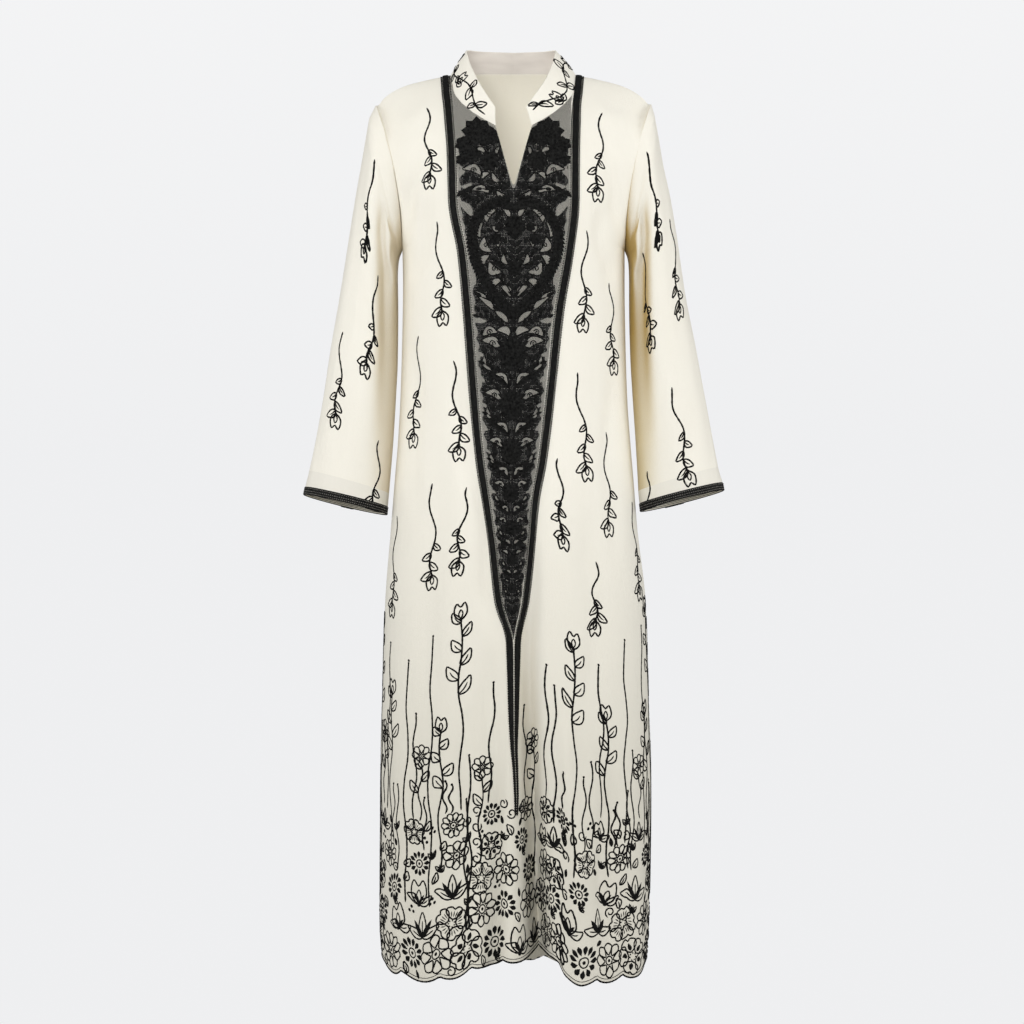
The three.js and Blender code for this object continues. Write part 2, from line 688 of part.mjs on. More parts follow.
const laceWall = laidOn(neckPoint + 1, LACE_LAST_ROW, LACE_WALL);
const laceLeft = (z) => Math.min(-0.6, braid.left(z) + braid.half(z) + 2 * SEAM);
const laceRight = (z) => Math.max(0.6, braid.right(z) - braid.half(z) - 2 * SEAM);
piece('lace_panel', cutTo(laceWall, laceLeft, laceRight, LACE_TOP, LACE_TIP), NET, 0.8);

for (const side of ['left', 'right']) {
  const wall = laidOn(neckPoint + 2, BRAID_LAST_ROW, BRAID_WALL);
  const low = (z) => braid[side](z) - braid.half(z);
  const high = (z) => braid[side](z) + braid.half(z);
  piece(`braid_${side}`, cutTo(wall, low, high, 20, BRAID_FOOT), INK, 0.8);
}

// ---------- corded hem ----------
/** A square cord sewn under the last row of a panel. */
function hemCord(grid, out) {
  const edge = grid.at(-1);
  const faces = out.at(-1);
  const wide = (height, drop) =>
    edge.map((spot, j) => spot.clone().addScaledVector(faces[j], height).add(point(0, 0, -drop)));
  const outer = [wide(0.4, SEAM), wide(0.4, SEAM + CORD)];
  const inner = [wide(-CREPE - 0.4, SEAM), wide(-CREPE - 0.4, SEAM + CORD)];
  return closedWall(outer, inner);
}
piece('hem_cord_front', hemCord(front, frontOut), INK, 0.8);
piece('hem_cord_back', hemCord(back, backOut), INK, 0.8);

export default garment;
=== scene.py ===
import math

import bpy
import numpy as np
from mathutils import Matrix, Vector


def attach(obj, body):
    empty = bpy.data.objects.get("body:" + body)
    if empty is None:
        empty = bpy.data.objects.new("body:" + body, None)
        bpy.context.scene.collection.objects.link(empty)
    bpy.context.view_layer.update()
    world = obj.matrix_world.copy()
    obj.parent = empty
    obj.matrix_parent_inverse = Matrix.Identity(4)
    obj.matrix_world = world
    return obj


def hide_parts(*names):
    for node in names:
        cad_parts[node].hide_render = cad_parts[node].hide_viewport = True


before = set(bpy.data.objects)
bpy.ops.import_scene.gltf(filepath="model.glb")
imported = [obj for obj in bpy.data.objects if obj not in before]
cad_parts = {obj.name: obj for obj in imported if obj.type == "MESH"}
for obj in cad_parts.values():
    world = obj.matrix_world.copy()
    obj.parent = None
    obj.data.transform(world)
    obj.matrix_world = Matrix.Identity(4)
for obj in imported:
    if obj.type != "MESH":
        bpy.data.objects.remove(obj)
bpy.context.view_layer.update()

# The garment is worked out in millimetres and made in metres: +Z up, the front faces -Y, and
# the origin is on the shoulders. Angles run round half the body, from 0 degrees at the middle
# of the front or back to 90 at the side.
MM = 0.001
SIGN = {"left": -1.0, "right": 1.0}
FACING = {"front": -1.0, "back": 1.0}
ROUND = 2.4  # how full the body's round is, seen from above: 2 would be an ellipse
TIP_HALF = 216.0  # from the middle out to the shoulder tips
TIP_Z = {"left": -47.0, "right": -45.0}
UNDERARM = -274.0  # the foot of the armholes
ARMHOLE_BOW = {"front": 58.0, "back": 62.0}  # how far an armhole bows to the front and back
NECK_TURN = 23.0  # the neck's shoulder points
SLIT_TURN = 5.0  # the ends of the collar, beside the slit
SLIT_FOOT = -181.0
LACE_TIP = -880.0
HEM_LEVEL = -1400.0  # about where the hem hangs
SCALLOP = 9.0  # depth of the hem's scallops
RINGS, TURNS = 12, 72  # rings down a sleeve, and steps of 5 degrees round it
CAP_RING, CAP_ROWS, TUBE_ROWS = 1.2, 8, 83  # a sleeve's rows, closer together in its cap
RING_STEP = 24  # millimetres from one ring to the next, about
CUFF_TILT = 0.085  # how much higher a cuff's front is than its middle, as a share of its depth
CREPE_THICK = 1.1
COLLAR_THICK = 2.0


# ---------- tables and curves ----------
def table(names, *rows):
    """A short table as one array for each named column."""
    return dict(zip(names.split(), np.array(rows, float).T))


def rows_of(columns):
    """The rows of a table again, one by one."""
    return list(zip(*columns.values()))


def curve(rows, key, column):
    """A smooth curve through one column of a table, against another."""
    order = np.argsort(rows[key])
    xs, ys = rows[key][order], rows[column][order]
    steps = np.diff(ys) / np.diff(xs)
    before, after = steps[:-1], steps[1:]
    product = before * after
    total = np.where(np.abs(before + after) < 1e-12, 1.0, before + after)
    inner = np.where(product <= 0, 0.0, 2 * product / total)
    slopes = np.concatenate([[steps[0]], inner, [steps[-1]]])

    def at(value):
        value = np.clip(value, xs[0], xs[-1])
        i = np.clip(np.searchsorted(xs, value, side="right") - 1, 0, len(xs) - 2)
        gap = xs[i + 1] - xs[i]
        t = (value - xs[i]) / gap
        rise = (3 - 2 * t) * t * t
        lead = t * (1 - t) ** 2 * gap * slopes[i]
        tail = t * t * (t - 1) * gap * slopes[i + 1]
        return ys[i] + (ys[i + 1] - ys[i]) * rise + lead + tail

    return at


def mix(a, b, share):
    return a + (b - a) * share


def smooth(value):
    value = np.clip(value, 0, 1)
    return value * value * (3 - 2 * value)


def across(degrees):
    """Share of the half width at an angle round the body."""
    return np.abs(np.sin(np.radians(degrees))) ** (2 / ROUND)


NECK_HALF = float(across(NECK_TURN) * TIP_HALF)

BODY = table(
    "z left right front back",
    (-1440, 202, 203, 152, 160),
    (-1372, 206, 209, 151, 158),
    (-1330, 209, 212, 150, 156),
    (-1121, 208, 215, 145, 150),
    (-922, 204, 210, 139, 143),
    (-826, 201, 207, 135, 139),
    (-710, 192, 194, 130, 133),
    (-635, 186, 188, 127, 128),
    (-575, 181, 183, 124, 122),
    (-503, 177, 178, 121, 114),
    (-400, 174, 175, 121, 108),
    (-330, 173, 174, 124, 110),
    (-274, 174, 174, 125, 112),
)
SHOULDER = table(
    "x front back",
    (0, 8, 48),
    (60, 5, 30),
    (88, 2, 11),
    (NECK_HALF, 0, 0),
    (117, -3, -3),
    (140, -8, -8),
    (168, -15.5, -15.5),
    (187, -24, -24),
    (200, -33, -33),
    (209, -41, -41),
    (TIP_HALF, -47, -47),
)
NECK_FRONT = table(
    "x z",
    (0, SLIT_FOOT - 2), (2.6, SLIT_FOOT), (28.3, -88), (46, -78), (64, -65.5), (80, -51),
    (92, -35), (NECK_HALF, 0),
)
NECK_BACK = table("x z", (0, 9), (45, 8), (75, 5), (90, 2), (NECK_HALF, 0))
COLLAR_TOP = table(
    "along left right y z",
    (0, 28.5, 20, -82, -59),
    (0.13, 44, 36, -72, -36),
    (0.28, 58, 52, -52, -10),
    (0.42, 69, 62, -27, 17),
    (0.49, 73, 65.5, -12, 31),
    (0.56, 74.5, 67, 2, 39),
    (0.62, 73, 66, 15, 42),
    (0.7, 67, 61, 30, 43.5),
    (0.8, 50, 47, 48, 44),
    (1, 0, 0, 62, 44),
)
BRAID = table(
    "z left right half",
    (-1150, 2.9, 5.3, 1.1),
    (-1120, 2.3, 6, 1.7),
    (-1079, 0.6, 5.1, 2.1),
    (-1042, -2.1, 3.8, 2.8),
    (-1000, -3.7, 4.4, 3.9),
    (-940, -4.9, 5.2, 4.7),
    (-885, -6.1, 6.3, 5.5),
    (-820, -23, 18.5, 6.2),
    (-729, -33, 28.5, 6.6),
    (-666, -42, 33.5, 7),
    (-608, -51, 44, 7.2),
    (-519, -60, 55, 7.4),
    (-378, -70.5, 70, 7.5),
    (-288, -79, 85, 7.5),
    (-208, -93, 94, 7.5),
    (-160, -94.5, 94.5, 7.5),
    (-120, -96, 95, 7.5),
    (-89, -98.5, 96, 7.5),
    (-50, -102, 97.5, 7.5),
    (-35, -104, 99.5, 7.5),
    (-10, -106, 102, 7.5),
    (10, -108, 104, 7.5),
)
HEM_FRONT = table(
    "x z",
    (-210, -1374), (-196, -1392), (-160, -1398), (-131, -1402), (-90, -1393), (-45, -1378),
    (5, -1370), (40, -1358), (58, -1364), (78, -1392), (108, -1404), (150, -1403),
    (195, -1398), (212, -1380),
)
HEM_BACK = table(
    "x z", (-210, -1376), (-150, -1402), (-60, -1408), (60, -1408), (150, -1404), (212, -1382)
)
CUSPS = {
    "front": [-198, -172, -113, -64, -17, 38, 68, 128, 166, 201],
    "back": [-200, -160, -110, -58, -4, 50, 104, 156, 198],
}
FOLDS = {
    "front": table(
        "x lean start depth low high",
        (42, -0.04, -600, 88, 27, 14),
        (-34, 0.03, -640, 26, 14, 17),
        (-158, 0.02, -1000, 16, 15, 17),
        (172, -0.03, -1080, 12, 15, 14),
        (106, 0.01, -700, -16, 28, 34),
        (-96, 0, -760, -9, 30, 24),
    ),
    "back": table(
        "x lean start depth low high",
        (-20, 0.02, -560, 34, 22, 26),
        (84, -0.03, -760, 26, 20, 17),
        (-112, 0.03, -820, 28, 18, 22),
        (158, -0.01, -980, 15, 16, 15),
    ),
}
# Soft creases in each panel, from one end to the other: how deep (a ridge is negative) and how
# wide.
CREASES = {
    "front": table(
        "x1 z1 x2 z2 depth wide",
        (-82, -470, -66, -640, 2.2, 13),
        (-60, -620, -36, -860, 2.6, 12),
        (46, -500, 24, -880, 3, 13),
        (66, -330, 58, -560, 1.6, 12),
        (118, -700, 124, -1000, 2.2, 16),
        (-118, -560, -126, -980, 2, 18),
        (-46, -900, -40, -1180, 3, 13),
        (82, -980, 96, -1330, -3.2, 14),
        (-84, -1020, -92, -1340, 2.8, 15),
        (140, -1060, 146, -1360, 3.4, 12),
        (-150, -330, -128, -205, 2.4, 13),
        (150, -340, 130, -215, 2.2, 13),
        (-168, -250, -142, -120, 2.6, 10),
        (167, -240, 144, -120, 2.4, 10),
        (-176, -84, -120, -56, -1.2, 14),
        (172, -84, 122, -52, -1.2, 14),
        (-152, -420, -150, -700, 1.8, 12),
        (150, -440, 152, -760, 1.8, 12),
    ),
    "back": table(
        "x1 z1 x2 z2 depth wide",
        (-60, -150, -30, -420, 2.2, 16),
        (58, -170, 34, -470, 2, 16),
        (-150, -300, -110, -180, 2.4, 13),
        (150, -310, 112, -190, 2.4, 13),
        (0, -380, 6, -700, 2.6, 15),
        (110, -520, 118, -900, 2.4, 15),
        (-128, -520, -140, -900, 2.4, 15),
        (36, -900, 44, -1340, 3.2, 13),
        (-66, -880, -72, -1300, -3, 14),
        (128, -1000, 136, -1350, 3, 12),
        (-160, -1000, -166, -1340, 3, 12),
    ),
}

SLEEVES = {
    "left": table(
        "outX outZ inX inZ depth fore",
        (226, -67, 178, -284, 63, 0),
        (230.5, -94, 180, -297, 67, 1),
        (238, -140, 181, -320, 68, 2),
        (247, -190, 181, -350, 66, 3),
        (259, -262, 181, -396, 63, 4),
        (272.5, -345, 181, -450, 60, 6),
        (286, -425, 183, -503, 57, 8),
        (299, -515, 187, -572, 53, 10),
        (312, -588, 192, -630, 50, 12),
        (320.5, -626, 194.5, -660, 48, 13),
        (325.5, -645, 196, -676, 47.5, 13),
        (328, -657, 198, -688, 47, 13),
    ),
    "right": table(
        "outX outZ inX inZ depth fore",
        (220, -60, 178, -284, 63, 0),
        (226.5, -94, 180, -297, 67, 1),
        (234, -140, 181, -320, 68, 2),
        (245, -190, 181.5, -350, 66, 3),
        (257, -258, 182, -396, 63, 4),
        (269.5, -345, 183, -450, 60, 6),
        (286, -430, 185.5, -503, 57, 8),
        (301, -513, 190, -572, 53, 10),
        (313.5, -583, 193.5, -628, 50, 12),
        (321, -620, 195, -656, 48, 13),
        (326.5, -638, 196.5, -671, 47.5, 13),
        (329, -650, 198.5, -683, 47, 13),
    ),
}
SLEEVE_FOLD = table(
    "ring turn depth",
    (0, 84, 0),
    (1.5, 94, 5),
    (3, 106, 13),
    (4.5, 126, 19),
    (6, 136, 14),
    (7.5, 140, 7),
    (9, 144, 2),
    (12, 150, 0),
)
# Small creases of a sleeve: turns, in degrees, and rings of both ends, depth and width.
SLEEVE_CREASES = table(
    "turn1 ring1 turn2 ring2 depth wide",
    (128, 0.6, 96, 3.4, 3.6, 9),
    (150, 1, 128, 4.6, 3, 8),
    (40, 2.6, 58, 7.4, 1.6, 11),
    (84, 5.2, 66, 9.2, 1.8, 12),
    (24, 6.4, 34, 10.4, 1.4, 10),
    (226, 0.8, 262, 3.8, 3.4, 11),
    (300, 3.4, 286, 8.2, 2.2, 13),
    (248, 6.2, 256, 10.6, 2, 12),
    (30, 0.4, 34, 2.2, -1.4, 12),
    (328, 0.4, 322, 2.4, -1.4, 12),
)

body_half = {side: curve(BODY, "z", side) for side in SIGN}
body_depth = {face: curve(BODY, "z", face) for face in FACING}
ridge = {face: curve(SHOULDER, "x", face) for face in FACING}
hem_line = {"front": curve(HEM_FRONT, "x", "z"), "back": curve(HEM_BACK, "x", "z")}
neck_back_line = curve(NECK_BACK, "x", "z")
braid_line = {name: curve(BRAID, "z", name) for name in ("left", "right", "half")}


def neckline(face, x):
    """Height of the neck edge, and of the slit's sides, out from the centre."""
    if face == "front":
        return np.interp(x, NECK_FRONT["x"], NECK_FRONT["z"])
    return neck_back_line(x)


# ---------- the front's and back's form ----------
def armhole_half(side, down):
    """Half width at the armhole, from 0 at the shoulder tip to 1 at the underarm."""
    pit = float(body_half[side](UNDERARM))
    return pit + (TIP_HALF - pit) * (1 - down) ** 2


def hem_height(face, x):
    """Scalloped hem height under a point of the body."""
    lobe = np.zeros_like(x)
    cusps = CUSPS[face]
    for low, high in zip(cusps, cusps[1:]):
        inside = (x >= low) & (x <= high)
        share = np.clip((x - low) / (high - low), 0, 1)
        lobe = np.where(inside, np.sin(np.pi * share) ** 0.7, lobe)
    return hem_line[face](x) + SCALLOP * (1 - lobe)


def fold_depth(face, x, z):
    """How far the cloth goes in at the big folds."""
    total = np.zeros_like(x)
    for place, lean, start, depth, low, high in rows_of(FOLDS[face]):
        away = x - (place + lean * (z - HEM_LEVEL))
        width = np.where(away < 0, low, high)
        grown = np.clip((start - z) / (start - HEM_LEVEL), 0, 1) ** 1.35
        total += depth * grown * np.exp(-((away / width) ** 2))
    return total


def crease_depth(creases, x, z):
    """How far the cloth goes in at its soft creases, each fading out towards its ends."""
    total = np.zeros_like(x)
    for k, (x1, z1, x2, z2, depth, wide) in enumerate(rows_of(creases)):
        run = np.array([x2 - x1, z2 - z1])
        length = float(np.hypot(*run))
        along = ((x - x1) * run[0] + (z - z1) * run[1]) / length**2
        away = ((x - x1) * run[1] - (z - z1) * run[0]) / length
        wander = 0.35 * wide * np.sin(2.6 * np.pi * along + 1.7 * k)
        fade = smooth((along + 0.12) / 0.4) * smooth((1.12 - along) / 0.4)
        total += depth * fade * np.exp(-(((away - wander) / wide) ** 2))
    return total


def ripple(face, x, z):
    """The soft uneven flutes of hanging crepe, stronger towards the hem."""
    grown = 1.5 + 3.0 * smooth((-z - 520) / 760)
    phase = 0.0 if face == "front" else 2.1
    slow = np.sin(x / 27.0 + 0.9 * np.sin(z / 310.0 + phase) + phase)
    quick = np.sin(x / 13.5 + 1.3 * np.sin(z / 190.0 + 2 * phase) + 1.2 + phase)
    wave = np.sin(z / 74.0 + x / 61.0 + phase) * np.sin(x / 43.0 - z / 205.0)
    return grown * (0.62 * slow + 0.34 * quick) + 0.6 * wave


def chest_close(face, share):
    """Share of the chest's or back's full depth, from 0 at the shoulder to 1 at the underarm."""
    share = np.clip(share, 0, 1)
    if face == "front":
        return (1 - (1 - share) ** 2.2) ** 0.75
    return (1 - (1 - share) ** 3) ** 0.6


def shoulder_line(face, side, x):
    tip_share = smooth((x - 204) / (TIP_HALF - 204))
    return mix(ridge[face](x), TIP_Z[side], tip_share)


def upper_points(face, side, degrees, down):
    """Points of the front or back above the underarm."""
    u = across(degrees)
    top_x = u * TIP_HALF
    top = shoulder_line(face, side, top_x)
    start = np.where(degrees <= NECK_TURN, neckline(face, top_x), top)
    x = u * armhole_half(side, down)
    z = mix(start, UNDERARM, down)
    share = np.clip((top - z) / (top - UNDERARM), 0, 1)
    flat = np.clip(2 * u - 1, 0, 1) ** 8
    armhole = ARMHOLE_BOW[face] * (4 * share * (1 - share)) ** mix(1.6, 0.5, flat)
    power = mix(0.75, 1 / ROUND, smooth((share - 0.45) / 0.55))
    full = np.clip(1 - u**ROUND, 0, 1) ** power
    chest = body_depth[face](z) * chest_close(face, share)
    y = armhole + (chest - armhole) * full
    return SIGN[side] * x, FACING[face] * y, z


def lower_points(face, side, degrees, down):
    """Points of the front or back below the underarm."""
    u = across(degrees)
    sign = SIGN[side]
    z = mix(UNDERARM, hem_height(face, sign * u * body_half[side](HEM_LEVEL)), down)
    x = sign * u * body_half[side](z)
    deep = body_depth[face](z) * np.clip(1 - u**ROUND, 0, 1) ** (1 / ROUND)
    y = deep - fold_depth(face, x, z) * (1 - u**6)
    return x, FACING[face] * y, z


# ---------- cloth as a grid ----------
def unit(vectors):
    length = np.linalg.norm(vectors, axis=-1, keepdims=True)
    return vectors / np.where(length < 1e-9, 1, length)


def reaches(line):
    """Distances along a line of points, from its start."""
    return np.concatenate([[0], np.cumsum(np.linalg.norm(np.diff(line, axis=0), axis=1))])


def between(grid, row, column):
    """A value of a grid between its points."""
    rows, columns = grid.shape[:2]
    row = np.clip(row, 0, rows - 1.000001)
    column = np.clip(column, 0, columns - 1.000001)
    i, j = row.astype(int), column.astype(int)
    v, u = row - i, column - j
    if grid.ndim == 3:
        v, u = v[:, None], u[:, None]
    upper = grid[i, j] * (1 - u) + grid[i, j + 1] * u
    lower = grid[i + 1, j] * (1 - u) + grid[i + 1, j + 1] * u
    return upper * (1 - v) + lower * v


def halved(short, last, like, steps):
    """The columns, from 0 to the last, up to which a test says short, found by halving."""
    low, high = np.zeros_like(like), np.full_like(like, last)
    for _ in range(steps):
        middle = (low + high) / 2
        under = short(middle)
        low, high = np.where(under, middle, low), np.where(under, high, middle)
    return (low + high) / 2


class Cloth:
    """A piece of cloth as a grid: rows run down it, columns run across it or all round it."""

    def __init__(self, points, round_piece=False):
        self.points = points
        self.round = round_piece
        self.outs = self.ways_out()
        steps = np.linalg.norm(np.diff(points, axis=1), axis=2)
        self.side = np.concatenate([np.zeros((len(points), 1)), np.cumsum(steps, 1)], axis=1)
        steps = np.linalg.norm(np.diff(points, axis=0), axis=2)
        top = np.zeros((1, points.shape[1]))
        self.drop = np.concatenate([top, np.cumsum(steps, 0)], axis=0)

    def ways_out(self):
        """The direction out of the cloth at each point."""
        padded = np.pad(self.points, ((1, 1), (0, 0), (0, 0)), mode="edge")
        down = padded[2:] - padded[:-2]
        if self.round:
            wrapped = np.concatenate(
                [self.points[:, -2:-1], self.points, self.points[:, 1:2]], axis=1
            )
        else:
            wrapped = np.pad(self.points, ((0, 0), (1, 1), (0, 0)), mode="edge")
        over = wrapped[:, 2:] - wrapped[:, :-2]
        return unit(np.cross(down, over))

    def move_out(self, distance):
        """Moves the whole piece out or in by a distance at each point, and measures it again."""
        self.__init__(self.points + self.outs * distance[..., None], self.round)

    def spots(self, row, column):
        """Places and ways out at rows and columns."""
        return between(self.points, row, column), unit(between(self.outs, row, column))

    def sideways(self, row, column, distance):
        """The columns that lie a distance along the cloth to the side."""
        last = self.side.shape[1] - 1.0
        total = between(self.side, row, np.full_like(row, last))
        goal = between(self.side, row, column) + distance
        if self.round:
            goal = np.mod(goal, total)
        return halved(lambda middle: between(self.side, row, middle) < goal, last, row, 14)

    def walk(self, place, sideways, down):
        """Rows and columns of points given by their distances from a place on the cloth."""
        row, column = place
        j = int(np.clip(column, 0, self.drop.shape[1] - 2))
        profile = mix(self.drop[:, j], self.drop[:, j + 1], column - j)
        here = np.interp(row, np.arange(len(profile)), profile)
        rows = np.interp(here + down, profile, np.arange(len(profile)))
        return rows, self.sideways(rows, np.full_like(rows, column), sideways)


def made_columns(*stretches):
    """Angles round half the body from stretches of (from, to, how many)."""
    parts = [np.linspace(a, b, n, endpoint=False) for a, b, n in stretches]
    return np.concatenate(parts + [[90.0]])


COLUMNS = {
    "front": made_columns((0, 0.28, 1), (0.28, 5, 10), (5, 23, 16), (23, 84, 42), (84, 90, 9)),
    "back": made_columns((0, 23, 16), (23, 84, 38), (84, 90, 7)),
}
UPPER_ROWS = {"front": 40, "back": 32}
LOWER_ROWS = {"front": 150, "back": 120}


def panel(face):
    """The front or back as cloth, its rows from one side seam to the other."""
    degrees = COLUMNS[face]
    steps = UPPER_ROWS[face]
    upper = (1 - np.cos(np.pi * np.arange(steps + 1) / steps)) / 2
    lower = np.linspace(0, 1, LOWER_ROWS[face] + 1)[1:]
    halves = {}
    for side in SIGN:
        turn, down = np.meshgrid(degrees, upper)
        above = np.stack(upper_points(face, side, turn, down), -1)
        turn, down = np.meshgrid(degrees, lower)
        below = np.stack(lower_points(face, side, turn, down), -1)
        halves[side] = np.concatenate([above, below])
    first, second = ("left", "right") if face == "front" else ("right", "left")
    points = np.concatenate([halves[first][:, :0:-1], halves[second]], axis=1)
    cloth = Cloth(points)
    x, z = cloth.points[..., 0], cloth.points[..., 2]
    half = np.where(x < 0, body_half["left"](z), body_half["right"](z))
    edge = smooth((1 - np.abs(x) / np.where(z > UNDERARM, TIP_HALF, half)) / 0.1)
    near_top = smooth(cloth.drop / 26.0)
    above = smooth((z + 180) / 120)
    move = ripple(face, x, z) * (1 - 0.75 * above) - 2.3 * crease_depth(CREASES[face], x, z)
    cloth.move_out(move * edge * near_top)
    return cloth


def place_on(face, x, z):
    """Rows and columns of the front or back under points seen from straight ahead."""
    x, z = np.broadcast_arrays(np.asarray(x, float), np.asarray(z, float))
    degrees = COLUMNS[face]
    steps = UPPER_ROWS[face]
    rows, turns = np.zeros(x.shape), np.zeros(x.shape)
    for side in SIGN:
        mine = (x < 0) == (side == "left")
        ax, az = np.abs(x[mine]), z[mine]
        half = np.full(ax.shape, TIP_HALF)
        for _ in range(10):
            u = np.clip(ax / half, 0, 1)
            turn = np.degrees(np.arcsin(u ** (ROUND / 2)))
            top = shoulder_line(face, side, u * TIP_HALF)
            start = np.where(turn <= NECK_TURN, neckline(face, u * TIP_HALF), top)
            share = np.clip((start - az) / (start - UNDERARM), 0, 1)
            half = armhole_half(side, share)
        above = np.arccos(1 - 2 * share) / np.pi * steps
        u_low = np.clip(ax / body_half[side](az), 0, 1)
        hem = hem_height(face, SIGN[side] * u_low * body_half[side](HEM_LEVEL))
        down = np.clip((UNDERARM - az) / (UNDERARM - hem), 0, 1)
        low = az < UNDERARM
        rows[mine] = np.where(low, steps + down * LOWER_ROWS[face], above)
        turns[mine] = np.where(low, np.degrees(np.arcsin(u_low ** (ROUND / 2))), turn)
    away = np.interp(turns, degrees, np.arange(len(degrees)))
    ahead = 1.0 if face == "front" else -1.0
    return rows, len(degrees) - 1 + ahead * np.where(x < 0, -away, away)


# ---------- meshes ----------
def placed(name, data):
    """A new object in the scene."""
    thing = bpy.data.objects.new(name, data)
    bpy.context.scene.collection.objects.link(thing)
    return thing


def finished(name, points, faces, materials, face_materials=None, sharp=50):
    """A Blender object from points in millimetres and faces, smooth but for its sharp edges."""
    mesh = bpy.data.meshes.new(name)
    mesh.from_pydata((np.asarray(points) * MM).tolist(), [], faces)
    mesh.validate()
    for material in materials:
        mesh.materials.append(material)
    if face_materials is not None:
        mesh.polygons.foreach_set("material_index", np.asarray(face_materials, np.int32))
    mesh.shade_smooth()
    if sharp:
        mesh.set_sharp_from_angle(angle=math.radians(sharp))
    mesh.update()
    piece = placed(name, mesh)
    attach(piece, "root")
    return piece


def numbered(rows, columns):
    """The numbers of a grid's points."""
    return np.arange(rows * columns).reshape(rows, columns)


def closed_round(index):
    """A grid of point numbers with its first column once more after its last."""
    return np.concatenate([index, index[:, :1]], axis=1)


def quads(index, flip=False):
    """Four-sided faces between the neighbours in a grid of point numbers."""
    a, b, c, d = index[:-1, :-1], index[1:, :-1], index[1:, 1:], index[:-1, 1:]
    return np.stack([a, d, c, b] if flip else [a, b, c, d], -1).reshape(-1, 4)


def shell(name, cloth, thick, materials, hem_rows=0):
    """A thin closed shell under a cloth's outer face, with softly rounded edges.

    The materials are the outside's, the inside's and, where given, the turned-up hem's."""
    outer, outs = cloth.points, cloth.outs
    if cloth.round:
        outer, outs = outer[:, :-1], outs[:, :-1]
    rows, columns = outer.shape[:2]
    skin = rows * columns
    points = [outer.reshape(-1, 3), (outer - outs * thick).reshape(-1, 3)]
    index = numbered(rows, columns)
    if cloth.round:
        index = closed_round(index)
    outside = quads(index)
    inside = outside[:, ::-1] + skin
    edges = [(index[0, ::-1], index[1, ::-1]), (index[-1], index[-2])]
    if not cloth.round:
        edges += [(index[:, 0], index[:, 1]), (index[::-1, -1], index[::-1, -2])]
    faces, count = [outside, inside], 2 * skin
    for edge, next_in in edges:
        rim_out = unit(points[0][edge] - points[0][next_in])
        points.append((points[0][edge] + points[1][edge]) / 2 + rim_out * 0.4 * thick)
        new, low = count + np.arange(len(edge)), edge + skin
        count += len(edge)
        faces.append(np.stack([edge[:-1], new[:-1], new[1:], edge[1:]], -1))
        faces.append(np.stack([new[:-1], low[:-1], low[1:], new[1:]], -1))
    kinds = np.zeros(sum(len(part) for part in faces), int)
    kinds[len(outside) : 2 * len(outside)] = 1
    if hem_rows:
        turned = np.zeros((rows - 1, index.shape[1] - 1), bool)
        turned[-hem_rows:] = True
        kinds[: len(outside)][turned.reshape(-1)] = 2
    faces = np.concatenate(faces).tolist()
    return finished(name, np.concatenate(points), faces, materials, kinds)


def rounded(path, step, closed=False):
    """A smooth line through the points of a path, cut into even steps."""
    path = np.asarray(path, float)
    if closed:
        line = np.concatenate([path[-1:], path, path[:2]])
    else:
        line = np.concatenate([2 * path[:1] - path[1:2], path, 2 * path[-1:] - path[-2:-1]])
    t = np.linspace(0, 1, 9)[:-1, None]
    parts = []
    for a, b, c, d in zip(line, line[1:], line[2:], line[3:]):
        parts.append(
            b + 0.5 * t * (c - a + t * (2 * a - 5 * b + 4 * c - d + t * (3 * (b - c) + d - a)))
        )
    fine = np.concatenate(parts + [path[:1] if closed else path[-1:]])
    reach = reaches(fine)
    count = max(3, int(round(reach[-1] / step)) + 1)
    even = np.linspace(0, reach[-1], count)
    if closed:
        even = even[:-1]
    return np.stack([np.interp(even, reach, fine[:, k]) for k in range(fine.shape[1])], -1)


def spin(points, degrees, about=(0.0, 0.0)):
    """Turns flat points clockwise, as seen from outside, with down as the second number."""
    a = math.radians(degrees)
    turn = np.array([[math.cos(a), math.sin(a)], [-math.sin(a), math.cos(a)]])
    return np.asarray(points, float) @ turn + np.asarray(about, float)


